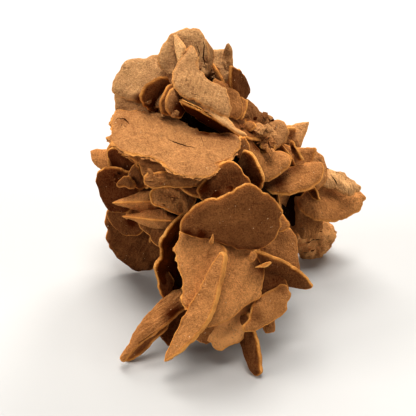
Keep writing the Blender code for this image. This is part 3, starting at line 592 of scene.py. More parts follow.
# Short crystals that tie a drawn blade to what stands behind it, hidden by the blade from the front:
# its name, the point on the sheet, length and radius in mm.
ties = [
    ("frontDisc", (234, 240), 8, 1.3),
    ("frontDisc", (222, 228), 14, 1.3),
    ("frontFin", (215, 280), 10, 1.3),
    ("frontFin", (206, 300), 10, 1.3),
    ("frontRight", (254, 321), 5, 1.1),
    ("frontRight", (262, 318), 5, 1.1),
    ("sliver", (211, 240), 7, 0.5),
    ("roundChip", (253, 256), 6, 0.5),
    ("wingChipA", (264, 264), 8, 0.4),
    ("right6", (296, 151), 9, 0.8),
    ("right9", (294, 173), 7, 1.2),
    ("right10", (327, 171), 8, 1.2),
    ("right11", (326, 198), 9, 1.2),
    ("right12", (315, 192), 10, 0.7),
    ("right14", (306, 217), 8, 1.2),
    ("left4a", (127, 182), 14, 0.7),
    ("left4b", (137, 177), 12, 0.8),
    ("stepChip", (238, 102), 4, 0.6),
]


def sightLines(points):
    # Directions from the eye through points of the sheet: across, ahead and up, one row each.
    points = np.asarray(points, float)
    across = (points[:, 0] - sheet["middle"][0]) / sheet["focus"]
    up = (sheet["middle"][1] - points[:, 1]) / sheet["focus"]
    sine = math.sin(sheet["eyeElevation"])
    cosine = math.cos(sheet["eyeElevation"])
    return np.stack([across, cosine + sine * up, -sine + cosine * up], axis=1)


def eyePoint():
    back = np.array([0.0, -math.cos(sheet["eyeElevation"]), math.sin(sheet["eyeElevation"])])
    return np.array(sheet["roseMiddle"]) + back * sheet["eyeDistance"]


def turned(turn, lean):
    # A blade's own axes as columns: along it, up its face and out of its face.
    side = math.radians(turn)
    tip = math.radians(90.0 - lean)
    about = np.array([
        [math.cos(side), -math.sin(side), 0],
        [math.sin(side), math.cos(side), 0],
        [0, 0, 1]])
    over = np.array([
        [1, 0, 0],
        [0, math.cos(tip), -math.sin(tip)],
        [0, math.sin(tip), math.cos(tip)]])
    return about @ over


def onBlade(points, place, axes):
    # Where the sight lines through points of the sheet meet a blade's middle plane, in its own axes.
    eye = eyePoint()
    lines = sightLines(points)
    hits = eye + lines * (((place - eye) @ axes[:, 2]) / (lines @ axes[:, 2]))[:, None]
    return (hits - place) @ axes


def offBlade(points, place, axes):
    # Points in a blade's own axes, moved to where they stand over the origin.
    return points @ axes.T + place + np.array(sheet["boxShift"])


def ease(x):
    # 0 below 0, 1 above 1, and 3x^2 - 2x^3 between.
    x = np.clip(x, 0.0, 1.0)
    return x * x * (3.0 - 2.0 * x)


def loopNoise(count, length, chance):
    # Random heights round a closed run of points. Each wave is scaled by p / ((0.3 + p^2)(1 + (p/5)^2)),
    # where p is `length` over the wave's own length, both in steps: the finest waves all but vanish.
    waves = np.fft.rfft(chance.standard_normal(count))
    pace = np.fft.rfftfreq(count) * length
    waves *= pace / ((0.3 + pace * pace) * (1.0 + (pace / 5.0) ** 2))
    run = np.fft.irfft(waves, count)
    return run / max(run.std(), 1e-9)


def waveNoise(points, wavelength, chance, waves=22):
    # A sum of cosine waves in random directions, from 0.7 to 1.5 times `wavelength` long.
    angles = chance.uniform(0.0, 2.0 * math.pi, waves)
    pace = 2.0 * math.pi / (wavelength * chance.uniform(0.7, 1.5, waves))
    phases = chance.uniform(0.0, 2.0 * math.pi, waves)
    directions = np.stack([np.cos(angles), np.sin(angles)]) * pace
    return np.cos(points @ directions + phases).sum(axis=1) * math.sqrt(2.0 / waves)


def readAt(places, marks, values):
    # Each column of values, given at the marks, read at places between them.
    return np.stack([np.interp(places, marks, column) for column in values.T], axis=1)


def evenOutline(corners, step):
    # The corners joined by straight runs, as points at one spacing. Their number is a multiple of eight.
    loop = np.vstack([corners, corners[:1]])
    lengths = np.r_[0.0, np.cumsum(np.hypot(*np.diff(loop, axis=0).T))]
    count = 4 * max(6, 2 * round(lengths[-1] / (8.0 * step)))
    return readAt(np.arange(count) * lengths[-1] / count, lengths, loop)


def easedLoop(run, spread):
    # A closed run averaged over its neighbours with a bell curve, `spread` steps wide.
    pace = np.fft.rfftfreq(len(run))
    bell = np.exp(-2.0 * (math.pi * pace * spread) ** 2)
    return np.fft.irfft(np.fft.rfft(run, axis=0) * bell[:, None], len(run), axis=0)


def outwards(loop):
    # At each point of an anticlockwise loop, the direction square to its run and out of it.
    along = np.roll(loop, -1, axis=0) - np.roll(loop, 1, axis=0)
    along /= np.maximum(np.hypot(*along.T), 1e-12)[:, None]
    return np.stack([along[:, 1], -along[:, 0]], axis=1)


def raggedRim(loop, step, look, chance):
    # How far each point of the rim stands in or out: wandering noise, less a few v-shaped notches.
    offset = look["ragged"] * mm * loopNoise(len(loop), growth["rimWave"] * mm / step, chance)
    at = np.arange(len(loop)) * step
    whole = len(loop) * step
    for _ in range(look["nicks"]):
        away = np.abs((at - chance.uniform(0.0, whole) + whole / 2) % whole - whole / 2)
        width = chance.uniform(*growth["nickWidth"]) * mm
        depth = look["nickDepth"] * chance.uniform(*growth["nickShare"]) * mm
        offset -= depth * np.clip(1.0 - away / width, 0.0, 1.0)
    return offset


def discGrid(cells):
    # A square grid of cells squeezed onto a disc: for each point, its reach from the middle and its
    # place round the rim, from 0 to 1. There is no pole.
    line = np.linspace(-1.0, 1.0, cells + 1)
    a, b = np.meshgrid(line, line, indexing="ij")
    reach = np.maximum(np.abs(a), np.abs(b))
    safe = np.maximum(reach, 1e-9)
    sides = [a >= reach, b >= reach, -a >= reach]
    along = np.select(sides, [b, 2 * reach - a, 4 * reach - b], 6 * reach + a) / (8.0 * safe)
    return reach.ravel(), (along % 1.0).ravel()


def gridFaces(cells):
    # The squares between the points of a square grid, wound anticlockwise.
    index = np.arange((cells + 1) ** 2).reshape(cells + 1, cells + 1)
    corners = [index[:-1, :-1], index[1:, :-1], index[1:, 1:], index[:-1, 1:]]
    return np.stack([corner.ravel() for corner in corners], axis=1)


def distanceTo(points, loop):
    # The distance of each point from the closed outline, by its nearest straight run.
    start = loop[None, :, :]
    run = (np.roll(loop, -1, axis=0) - loop)[None, :, :]
    away = points[:, None, :] - start
    share = np.clip((away * run).sum(2) / np.maximum((run * run).sum(2), 1e-18), 0.0, 1.0)
    return np.sqrt(((away - run * share[:, :, None]) ** 2).sum(2).min(axis=1))


def faceHeight(points, distance, half, look, chance):
    # Height of a face over the blade's middle = half the rim's thickness, rounded as a quarter circle at
    # the very rim, + the slope up to half the blade's thickness + the growth steps, which follow the
    # rim, + gentle and finer waves. Steps and waves fade towards the rim.
    rimHalf = 0.5 * look["rim"] * mm
    rimShare = np.sqrt(1.0 - (1.0 - np.clip(distance / (look["rounding"] * mm), 0.0, 1.0)) ** 2)
    height = rimHalf * (look["edge"] + (1.0 - look["edge"]) * rimShare)
    share = np.clip(distance / (look["slope"] * mm), 0.0, 1.0)
    height += (half - rimHalf) * (share if look["straight"] else ease(share))
    wander = growth["stepWander"] * waveNoise(points, growth["stepWave"] * mm, chance)
    steps = np.clip(distance / (growth["stepWidth"] * mm) + wander, 0.0, growth["stepCount"])
    tread = 1.0 - growth["stepRise"]
    stair = np.floor(steps) + ease((steps % 1.0 - tread) / growth["stepRise"])
    fade = ease(distance / (growth["fade"] * mm))
    height += look["terrace"] * mm * (stair - 0.5 * growth["stepCount"]) * fade
    uneven = waveNoise(points, growth["wave"] * mm, chance)
    uneven += growth["fineShare"] * waveNoise(points, growth["fineWave"] * mm, chance)
    return height + look["relief"] * mm * uneven * fade


def bandRows(flat, out, front, back, step, look, chance):
    # The rows of points down the rim, from face to face: a thin sheet, then a groove and a sheet for
    # each further sheet. Every sheet wanders in and out by itself.
    count = len(flat)
    levels = 2 * look["sheets"] - 1
    rows = []
    for level in range(levels):
        isSheet = level % 2 == 0
        stand = growth["sheetStand"] if isSheet else growth["grooveStand"]
        wander = 0.0
        if look["sheets"] > 1:
            wander = look["sheetOffset"] * mm * loopNoise(count, growth["sheetWave"] * mm / step, chance)
        offset = stand * mm + (wander if isSheet else 0.0)
        share = (level + 1.0) / (levels + 1.0)
        rows.append(np.c_[flat + out * np.reshape(offset, (-1, 1)), front + (back - front) * share])
    wearGlowAndShade = np.where(np.arange(levels) % 2 == 0, growth["sheetRimDistance"], growth["grooveRimDistance"]) * mm
    return rows, np.repeat(wearGlowAndShade, count)


def bladeSurface(corners, half, look, chance):
    # Two faces on square grids squeezed to the outline, joined round the rim by a band of thin sheets.
    smooth = evenOutline(corners, look["step"] * mm)
    count = len(smooth)
    cells = count // 4
    step = np.hypot(*np.diff(smooth[:2], axis=0).T)[0]
    smooth = easedLoop(smooth, look["corner"] * mm / step)
    out = outwards(smooth)
    rim = smooth + out * raggedRim(smooth, step, look, chance)[:, None]
    middle = smooth.mean(axis=0)
    reach, along = discGrid(cells)
    marks = np.arange(count + 1) / count
    edge = readAt(along, marks, np.vstack([smooth, smooth[:1]]))
    wander = readAt(along, marks, np.vstack([rim, rim[:1]])) - edge
    # The rim's wandering dies away towards the middle with the eighth power of the reach.
    spread = reach + growth["crowding"] * reach * (1.0 - reach)
    flat = middle + spread[:, None] * (edge - middle) + (reach ** 8)[:, None] * wander
    isRim = reach > 1.0 - 0.5 / cells
    distance = np.where(isRim, 0.0, distanceTo(flat, rim))
    # The whole blade bends by warp x (b1 u^2 + b2 v^2 + b3 uv), with b random and u, v from -1 to 1.
    u, v = ((flat - middle) / np.abs(smooth - middle).max()).T
    bend = chance.normal(0.0, 1.0, 3)
    bow = look["warp"] * mm * (bend[0] * u * u + bend[1] * v * v + bend[2] * u * v)
    front = bow + faceHeight(flat, distance, half, look, chance)
    back = bow - faceHeight(flat, distance, half, look, chance)
    onRim = np.flatnonzero(isRim)
    onRim = onRim[np.argsort(np.round(along[onRim] * count) % count)]
    rows, rowRimDistance = bandRows(flat[onRim], out, front[onRim], back[onRim], step, look, chance)
    points = np.vstack([np.c_[flat, front], np.c_[flat, back]] + rows)
    size = len(flat)
    starts = 2 * size + count * np.arange(len(rows))
    loops = [onRim] + [start + np.arange(count) for start in starts] + [size + onRim]
    bands = []
    for upper, lower in zip(loops[:-1], loops[1:]):
        bands.append(np.stack([lower, np.roll(lower, -1), np.roll(upper, -1), upper], axis=1))
    faces = gridFaces(cells)
    faces = np.vstack([faces, size + faces[:, ::-1]] + bands)
    return points, faces, np.r_[distance, distance, rowRimDistance]


def makeMesh(name, points, faces, maps):
    # Puts whole arrays into a mesh. maps holds two numbers for each point under the map's name.
    mesh = bpy.data.meshes.new(name)
    mesh.vertices.add(len(points))
    mesh.vertices.foreach_set("co", points.astype(np.float32).ravel())
    mesh.loops.add(faces.size)
    mesh.loops.foreach_set("vertex_index", faces.astype(np.int32).ravel())
    mesh.polygons.add(len(faces))
    mesh.polygons.foreach_set("loop_start", np.arange(len(faces), dtype=np.int32) * faces.shape[1])
    mesh.update(calc_edges=True)
    for mapName, values in maps.items():
        layer = mesh.uv_layers.new(name=mapName)
        layer.data.foreach_set("uv", values[faces.ravel()].astype(np.float32).ravel())
    return mesh


def pair(first, second, count):
    # The same two numbers for every point.
    return np.tile([first, second], (count, 1))


def bladeMesh(name, corners, half, place, axes, look, seed, paintedShadingSpots=()):
    # One closed blade. Its maps hold, for each point: wearGlowAndShade, the distance from the rim, which
    # places the worn crest and the painted rim glow, and the tone with its painted shade and light; face,
    # the place across and along the fine lines; look, the glow and the fibre; tint, the paleness.
    # A spot of painted shade or light changes the tone fully at its middle and not at all from its radius
    # on.
    chance = np.random.default_rng(seed)
    points, faces, apart = bladeSurface(windsLeft(corners), half, look, chance)
    tones = np.full(len(points), look["toneAndShading"])
    for middle, radius, change in paintedShadingSpots:
        tones += change * ease(1.2 - 1.2 * np.hypot(*(points[:, :2] - middle).T) / (radius * mm))
    lines = math.radians(look["fibreTurn"])
    across = points[:, 0] * math.sin(lines) - points[:, 1] * math.cos(lines)
    along = points[:, 0] * math.cos(lines) + points[:, 1] * math.sin(lines)
    maps = {
        "wearGlowAndShade": np.stack([np.clip(apart / (rimMapReach * mm), 0.0, 1.0), tones], axis=1),
        "face": np.stack([across, along], axis=1) * faceScale + chance.uniform(-lineShift, lineShift, 2),
        "look": pair(look["glow"], look["fibre"], len(apart)),
        "tint": pair(look["pale"], 0.0, len(apart)),
    }
    return makeMesh(name, offBlade(points, place, axes), faces, maps)


def discOutline(halfLength, halfWidth, chance):
    # An ellipse with eight corners, each a little in or out of its even place.
    angles = 2.0 * math.pi * (np.arange(8) + chance.uniform(-0.25, 0.25, 8)) / 8
    reach = chance.uniform(0.9, 1.05, 8)
    return np.stack([halfLength * reach * np.cos(angles), halfWidth * reach * np.sin(angles)], axis=1) * mm


def spikeOutline(halfLength, halfWidth):
    # A disc drawn out to a tip at its far left.
    shares = [(-1.0, 0.0), (0.1, -0.95), (0.7, -1.0), (1.0, -0.5), (1.0, 0.5), (0.7, 1.0), (0.1, 0.95)]
    return np.array(shares) * np.array([halfLength, halfWidth]) * mm


def windsLeft(corners):
    # Corners in anticlockwise order, so that the rim's outward side is on the right of its run.
    corners = np.asarray(corners, float)
    ahead = np.roll(corners, -1, axis=0)
    area = (corners[:, 0] * ahead[:, 1] - corners[:, 1] * ahead[:, 0]).sum()
    return corners if area > 0 else corners[::-1]


def drawnBlade(name):
    # A drawn blade's place, which is on the sight line of its outline's middle, its axes and half its
    # thickness.
    turn, lean, depth, thickness, outline = next(row[1:] for row in drawnBlades if row[0] == name)
    eye = eyePoint()
    middle = sightLines([np.mean(outline, axis=0)])[0]
    place = eye + middle * ((depth * mm - eye[1]) / middle[1])
    return place, turned(turn, lean), 0.5 * thickness * mm


def lookOf(name):
    return {**bladeSettings, **bladeLooks.get(name, {})}


def placedBlade(row, corners, look, seed):
    name, turn, lean, middle, _, _, thickness = row
    half = 0.5 * thickness * mm
    return bladeMesh(name, corners, half, np.array(middle) * mm, turned(turn, lean), look, seed)


def allBlades():
    meshes = []
    for order, row in enumerate(drawnBlades):
        name, outline = row[0], row[-1]
        place, axes, half = drawnBlade(name)
        corners = onBlade(outline, place, axes)[:, :2]
        paintedShadingSpots = [(onBlade([point], place, axes)[0, :2], radius, change)
                   for blade, point, radius, change in paintedShading if blade == name]
        meshes.append(bladeMesh(name, corners, half, place, axes, lookOf(name), seeds["drawn"] + order,
                                paintedShadingSpots))
    for order, row in enumerate(spikes):
        look = {**bladeSettings, **spikeLook}
        meshes.append(placedBlade(row, spikeOutline(*row[4:6]), look, seeds["spike"] + order))
    for order, row in enumerate(placedBlades):
        isHeart = row[0].startswith("heart")
        look = {**bladeSettings, **hiddenSettings, **(heartSettings if isHeart else {})}
        corners = discOutline(*row[4:6], np.random.default_rng(seeds["outline"] + order))
        meshes.append(placedBlade(row, corners, look, seeds["placed"] + order))
    return meshes


def crackCutter(order, line, width, depth, place, axes, height):
    # A long diamond in section, sunk into the face along the line. Its section is scaled by the sine
    # of the way along it, over a run that is `past` of a point's spacing longer at each end.
    past = 0.35
    lift = 0.15 * mm    # the diamond's sides over the face
    top = 1.0 * mm      # its upper edge over its sides
    turns = len(line)
    along = np.gradient(line, axis=0)
    side = np.stack([along[:, 1], -along[:, 0]], axis=1) / np.hypot(*along.T)[:, None]
    share = np.sin(math.pi * (np.arange(turns) + past) / (turns - 1.0 + 2.0 * past))[:, None]
    half = side * 0.5 * width * mm * share
    level = np.full((turns, 1), height + lift)
    points = np.vstack([
        np.c_[line - half, level],
        np.c_[line, level - depth * mm * share],
        np.c_[line + half, level],
        np.c_[line, level + top]])
    index = np.arange(4 * turns).reshape(4, turns)
    sides = []
    for a, b in zip(index, np.roll(index, -1, axis=0)):
        sides.append(np.stack([a[:-1], a[1:], b[1:], b[:-1]], axis=1))
    faces = np.vstack(sides + [index[:, :1].T, index[:, -1:].T[:, ::-1]])
    corner = points[np.vstack([faces[:, :3], faces[:, [0, 2, 3]]])]
    isInsideOut = np.einsum("ij,ij->", corner[:, 0], np.cross(corner[:, 1], corner[:, 2])) < 0
    if isInsideOut:
        faces = faces[:, ::-1]
    return makeMesh("crack%d" % order, offBlade(points, place, axes), faces, {})


def allCracks():
    meshes = []
    for order, (name, line, width, depth) in enumerate(cracks):
        place, axes, height = drawnBlade(name)
        spots = onBlade(line, place, axes)[:, :2]
        meshes.append(crackCutter(order, spots, width, depth, place, axes, height))
    return meshes


def unitBall():
    # The points and the faces of a ball of twenty triangles.
    ball = bmesh.new()
    bmesh.ops.create_icosphere(ball, subdivisions=1, radius=1.0)
    mesh = bpy.data.meshes.new("ball")
    ball.to_mesh(mesh)
    ball.free()
    points = np.empty(len(mesh.vertices) * 3, np.float32)
    mesh.vertices.foreach_get("co", points)
    faces = np.empty(len(mesh.loops), np.int32)
    mesh.loops.foreach_get("vertex_index", faces)
    bpy.data.meshes.remove(mesh)
    return points.reshape(-1, 3).astype(float), faces.reshape(-1, 3)


def plainMaps(points, toneAndShading, pale):
    # The maps of a crumb or a tie: one tone all over, as far from a rim as 1.5 mm.
    count = len(points)
    return {
        "wearGlowAndShade": pair(0.3, toneAndShading, count),
        "face": points[:, :2] * faceScale,
        "look": pair(0.0, 0.3, count),
        "tint": pair(pale, 0.0, count),
    }


crumbSettings = {
    "planes": 9,                    # flat planes that cut it
    "planeReach": (0.45, 0.8),      # how far out they lie, as shares of the ball
    "furthest": 1.3,                # the furthest that a corner stands out, as the same share
    "grazing": 0.3,                 # least cosine to a plane's own direction, which bounds its cut
    "scatter": 0.6,                 # standard deviation of their places, as a share of the patch's radius
    "stretch": (1.3, 0.95, 0.42),   # along, across and through
    "tilt": 28,                     # standard deviation of their tilt from lying flat, in degrees
    "sizes": (0.45, 1.0),           # shares of the size that the patch gives
    "tones": (-0.4, 0.25),          # change from the blade's tone
}


def crumbMesh(name, size, place, axes, toneAndShading, pale, chance):
    # A ball cut by flat planes at random, pressed flat and laid roughly along a blade's axes.
    directions, faces = unitBall()
    planes = chance.normal(size=(crumbSettings["planes"], 3))
    planes /= np.linalg.norm(planes, axis=1)[:, None]
    out = chance.uniform(*crumbSettings["planeReach"], crumbSettings["planes"])
    reach = (out / np.maximum(directions @ planes.T, crumbSettings["grazing"])).min(axis=1)
    tip = turned(chance.uniform(0, 360), 90) @ turned(0, chance.normal(90, crumbSettings["tilt"]))
    spin = axes @ tip @ turned(chance.uniform(0, 360), 90)
    stretch = np.array(crumbSettings["stretch"]) * size * chance.uniform(*crumbSettings["sizes"]) * mm
    shape = directions * np.minimum(reach, crumbSettings["furthest"])[:, None] * stretch
    points = shape @ spin.T + place
    return makeMesh(name, points, faces, plainMaps(points, toneAndShading, pale))


def allCrumbs():
    meshes = []
    for order, (name, middle, radius, count, size) in enumerate(crumbPatches):
        chance = np.random.default_rng(seeds["crumb"] + order)
        look = lookOf(name)
        scatter = chance.normal(0.0, crumbSettings["scatter"] * radius, (count, 2))
        spread = np.array(middle) + scatter
        place, axes, height = drawnBlade(name)
        spots = onBlade(spread, place, axes)
        spots[:, 2] = height
        for each, spot in enumerate(offBlade(spots, place, axes)):
            toneAndShading = look["toneAndShading"] + chance.uniform(*crumbSettings["tones"])
            label = "crumb%d.%d" % (order, each)
            meshes.append(crumbMesh(label, size, spot, axes, toneAndShading, look["pale"], chance))
    return meshes


def allTies():
    # Each tie is a ball drawn out along the sight line, from 1 mm before the blade to its length behind.
    before = 1.0
    meshes = []
    for order, (name, point, length, radius) in enumerate(ties):
        place, axes, _ = drawnBlade(name)
        along = sightLines([point])[0]
        along /= np.linalg.norm(along)
        directions, faces = unitBall()
        level = np.outer(directions @ along, along)
        shape = radius * (directions - level) + 0.5 * (length + before) * level
        middle = offBlade(onBlade([point], place, axes), place, axes) + along * 0.5 * (length - before) * mm
        points = shape * mm + middle
        meshes.append(makeMesh("tie%d" % order, points, faces, plainMaps(points, 0.0, 0.0)))
    return meshes


def floorCutter():
    # A slab under the floor, which takes off what reaches below it.
    span = 0.2
    depth = 0.02
    points = [(x, y, z) for x in (-span, span) for y in (-span, span) for z in (-depth, 0.0)]
    faces = [(0, 1, 3, 2), (4, 6, 7, 5), (0, 4, 5, 1), (2, 3, 7, 6), (0, 2, 6, 4), (1, 5, 7, 3)]
    return makeMesh("floorCut", np.array(points), np.array(faces), {})


def joined(meshes, cutters):
    # All blades united into one closed surface, then cracked and cut level with the floor.
    first, *others = meshes
    body = bpy.data.objects.new("gypsumRose", first)
    bpy.context.scene.collection.objects.link(body)
    groups = []
    for name, operation, helpers in (("join", "UNION", others), ("level", "DIFFERENCE", cutters)):
        group = bpy.data.collections.new(name)
        for mesh in helpers:
            group.objects.link(bpy.data.objects.new(mesh.name, mesh))
        modifier = body.modifiers.new(name, "BOOLEAN")
        modifier.operation = operation
        modifier.operand_type = "COLLECTION"
        modifier.collection = group
        modifier.solver = "MANIFOLD"
        groups.append(group)
    bpy.context.view_layer.update()
    graph = bpy.context.evaluated_depsgraph_get()
    result = body.evaluated_get(graph)
    mesh = bpy.data.meshes.new_from_object(result, preserve_all_data_layers=True, depsgraph=graph)
    body.modifiers.clear()
    body.data = mesh
    for group in groups:
        for helper in list(group.objects):
            bpy.data.objects.remove(helper)
        bpy.data.collections.remove(group)
    for old in meshes + cutters:
        bpy.data.meshes.remove(old)
    mesh.name = "gypsumRose"
    return body


def looseDropped(mesh):
    # Takes off whatever doesn't hang together with the largest piece. Every point takes the lowest number
    # found along its edges until nothing changes.
    edges = np.empty(len(mesh.edges) * 2, np.int32)
    mesh.edges.foreach_get("vertices", edges)
    edges = edges.reshape(-1, 2)
    label = np.arange(len(mesh.vertices))
    settled = False
    while not settled:
        lowest = np.minimum(label[edges[:, 0]], label[edges[:, 1]])
        lower = label.copy()
        np.minimum.at(lower, edges[:, 0], lowest)
        np.minimum.at(lower, edges[:, 1], lowest)
        lower = lower[lower]
        settled = bool((lower == label).all())
        label = lower
    loose = np.flatnonzero(label != np.bincount(label).argmax())
    print("loose points dropped:", len(loose))
    body = bmesh.new()
    body.from_mesh(mesh)
    body.verts.ensure_lookup_table()
    bmesh.ops.delete(body, geom=[body.verts[each] for each in loose], context="VERTS")
    body.to_mesh(mesh)
    body.free()


class Wire:
    # One output socket. An expression on wires adds its Math nodes.
    def __init__(self, tree, socket):
        self.tree = tree
        self.socket = socket

    def node(self, kind, settings=None, values=None, output=0):
        made = self.tree.nodes.new(kind)
        for name, value in (settings or {}).items():
            setattr(made, name, value)
        for name, value in (values or {}).items():
            if isinstance(value, Wire):
                value.into(made.inputs[name])
            else:
                made.inputs[name].default_value = value
        return Wire(self.tree, made.outputs[output])

    def into(self, socket):
        self.tree.links.new(self.socket, socket)

    def math(self, operation, *numbers):
        return self.node("ShaderNodeMath", {"operation": operation}, dict(enumerate(numbers)))

    def __add__(self, other):
        return self.math("ADD", self, other)

    def __radd__(self, other):
        return self.math("ADD", other, self)

    def __sub__(self, other):
        return self.math("SUBTRACT", self, other)

    def __rsub__(self, other):
        return self.math("SUBTRACT", other, self)

    def __mul__(self, other):
        return self.math("MULTIPLY", self, other)

    def held(self, low, high):
        raised = self.math("MAXIMUM", self, low)
        return self.math("MINIMUM", raised, high)

    def eased(self, low, high):
        # 0 at low, 1 at high, eased between.
        return self.node("ShaderNodeMapRange", {"interpolation_type": "SMOOTHSTEP"},
                         {"Value": self, "From Min": low, "From Max": high})

    def blended(self, colourA, colourB, held=True):
        # A colour that goes from A to B as this wire goes from 0 to 1, and past B where it isn't held.
        return self.node("ShaderNodeMix", {"data_type": "RGBA", "clamp_factor": held},
                         {"Factor": self, 6: colourA, 7: colourB}, 2)


gypsum = {
    "paintedShadow": (0.012, 0.004, 0.001, 1.0),       # painted black shade, at the tone below and less
    "paintedShadowTone": -0.4,
    "deep": (0.085, 0.015, 0.001, 1.0),         # at a tone of 0
    "sand": (0.54, 0.258, 0.094, 1.0),          # at a tone of 1
    "paleSand": (0.545, 0.315, 0.145, 1.0),     # the same on a pale blade
    # rimGlow is painted light: the orange glow of light shining through the thin rims.
    "rimGlow": (0.62, 0.225, 0.034, 1.0),
    # rimPale is the pale crest of the rims, partly worn edge and partly painted highlight.
    "rimPale": (0.86, 0.46, 0.15, 1.0),
    "fleck": (0.66, 0.48, 0.30, 1.0),
    "grainSize": 0.4,       # mm
    "speckSize": 0.92,      # mm
    "mottleSize": 5.0,      # mm
    "patchSize": 15.0,      # mm
    "fleckSize": 0.55,      # mm
    "fleckEdge": (0.84, 0.87),      # heights of their noise between which flecks begin
    "grain": 1.35,          # contrast of the grain
    "speck": 0.4,           # contrast of the specks beside the grain
    "mottle": 0.7,          # contrast of the mottling
    "patch": 0.4,           # contrast of the patches
    "lines": 1.3,           # contrast of the fine lines
    "lineScale": (16.0, 1.8, 1.0),  # lines and their ends in a cm of the face
    "lineFade": (0.35, 0.6),        # between these heights of the patches the lines fade in
    "plain": 0.25,          # share of the contrast that is left at a tone of 0
    "brightest": 1.5,       # the palest tone
    "glowStart": 0.05,      # mm from the rim to where its orange begins to fade
    "glowReach": 0.7,       # mm from the rim that its orange reaches
    "glowUneven": 0.6,      # mm that the mottling moves that reach
    "glowShare": 0.85,      # strength of the orange at the rim
    "crestReach": 0.35,     # mm from the rim that its pale crest reaches
    "crestUneven": 0.4,     # mm that the specks move that reach
    "crestShare": 0.9,      # strength of the crest at the rim
    "bump": 1.0,
    "bumpDepth": 0.3,       # mm
    "bumpMottle": 1.5,      # height of the mottling beside the grain
    "bumpLines": 2.0,       # height of the fine lines beside the grain
    "roughness": 0.78,
    "roughGrain": 0.15,     # how far the grain changes the roughness
    "subsurface": 0.02,
    "subsurfaceDepth": 1.6,     # mm
    "subsurfaceRadius": (1.0, 0.35, 0.12),      # of red, green and blue light
    "gloss": 0.02,
}


def gypsumMaterial():
    # level = tone + (mottle + patches + lines + grain) x (0.75 tone + 0.25), held from 0 to 1.5; the tone
    # holds painted shade and light besides colour. Colour = deep to sand by the level, painted black shade
    # below a tone of 0, then the rim's painted orange glow, its pale crest of wear and painted highlight,
    # and single flecks laid over it. The rim's share = 1 - its distance over the reach, eased, x glow x
    # (0.25 + 0.4 patches + 0.45 mottle).
    material = bpy.data.materials.new("sandGypsum")
    material.use_nodes = True
    shader = material.node_tree.nodes["Principled BSDF"]
    start = Wire(material.node_tree, None)
    place = start.node("ShaderNodeTexCoord", output=3)

    def noise(size, detail=2.0, rough=0.5):
        return start.node("ShaderNodeTexNoise", values={
            "Vector": place, "Scale": 1.0 / (size * mm), "Detail": detail, "Roughness": rough})

    def kept(mapName, output=0):
        both = start.node("ShaderNodeUVMap", {"uv_map": mapName})
        return both.node("ShaderNodeSeparateXYZ", values={0: both}, output=output)

    rimDistance = kept("wearGlowAndShade") * rimMapReach
    toneAndShading = kept("wearGlowAndShade", 1)
    glow = kept("look")
    fibre = kept("look", 1)
    pale = kept("tint")
    grain = noise(gypsum["grainSize"], 2.0, 0.6)
    speck = noise(gypsum["speckSize"], 1.0)
    mottle = noise(gypsum["mottleSize"], 3.0)
    patch = noise(gypsum["patchSize"])
    flecks = noise(gypsum["fleckSize"], 0.0).eased(*gypsum["fleckEdge"])
    # Fine lines along the face: noise squeezed one way, fading in and out over the blade.
    face = start.node("ShaderNodeUVMap", {"uv_map": "face"})
    squeezed = face.node("ShaderNodeVectorMath", {"operation": "MULTIPLY"},
                         {0: face, 1: gypsum["lineScale"]})
    lines = face.node("ShaderNodeTexNoise", values={"Vector": squeezed, "Scale": 1.0, "Detail": 3.0})
    lines = (lines - 0.5) * fibre * patch.eased(*gypsum["lineFade"])
    # Colour: the blade's tone, which holds painted shade and light, made uneven by the lines and by noise
    # of four sizes.
    uneven = (mottle - 0.5) * gypsum["mottle"] + (patch - 0.5) * gypsum["patch"] + lines * gypsum["lines"]
    fine = ((grain - 0.5) + (speck - 0.5) * gypsum["speck"]) * gypsum["grain"]
    level = toneAndShading + (uneven + fine) * (toneAndShading * (1.0 - gypsum["plain"]) + gypsum["plain"])
    sand = pale.blended(gypsum["sand"], gypsum["paleSand"])
    body = level.held(0.0, gypsum["brightest"]).blended(gypsum["deep"], sand, False)
    # Painted shade: below a tone of 0 the colour turns to near black.
    body = toneAndShading.eased(gypsum["paintedShadowTone"], 0.0).blended(gypsum["paintedShadow"], body)
    # Painted glow: near the rim the colour turns to the rim's orange, as of light shining through thin
    # gypsum; shine sets how strongly it and the crest show.
    shine = (patch.eased(0.3, 0.62) * 0.4 + mottle.eased(0.38, 0.6) * 0.45 + 0.25) * glow
    away = rimDistance + (mottle - 0.5) * gypsum["glowUneven"]
    rimShare = (1.0 - away.eased(gypsum["glowStart"], gypsum["glowReach"])) * gypsum["glowShare"] * shine
    body = rimShare.blended(body, gypsum["rimGlow"])
    # The pale crest: partly worn edge, partly painted highlight.
    away = rimDistance + (speck - 0.5) * gypsum["crestUneven"]
    crest = (1.0 - away.eased(0.0, gypsum["crestReach"])) * gypsum["crestShare"] * shine
    body = crest.blended(body, gypsum["rimPale"])
    body = flecks.blended(body, gypsum["fleck"])
    body.into(shader.inputs["Base Color"])
    rough = gypsum["roughness"] + (grain - 0.5) * gypsum["roughGrain"]
    rough.into(shader.inputs["Roughness"])
    bump = start.node("ShaderNodeBump", values={
        "Strength": gypsum["bump"], "Distance": gypsum["bumpDepth"] * mm,
        "Height": grain + speck + mottle * gypsum["bumpMottle"] + lines * gypsum["bumpLines"]})
    bump.into(shader.inputs["Normal"])
    shader.inputs["Subsurface Weight"].default_value = gypsum["subsurface"]
    shader.inputs["Subsurface Radius"].default_value = gypsum["subsurfaceRadius"]
    shader.inputs["Subsurface Scale"].default_value = gypsum["subsurfaceDepth"] * mm
    shader.inputs["Specular IOR Level"].default_value = gypsum["gloss"]
    return material


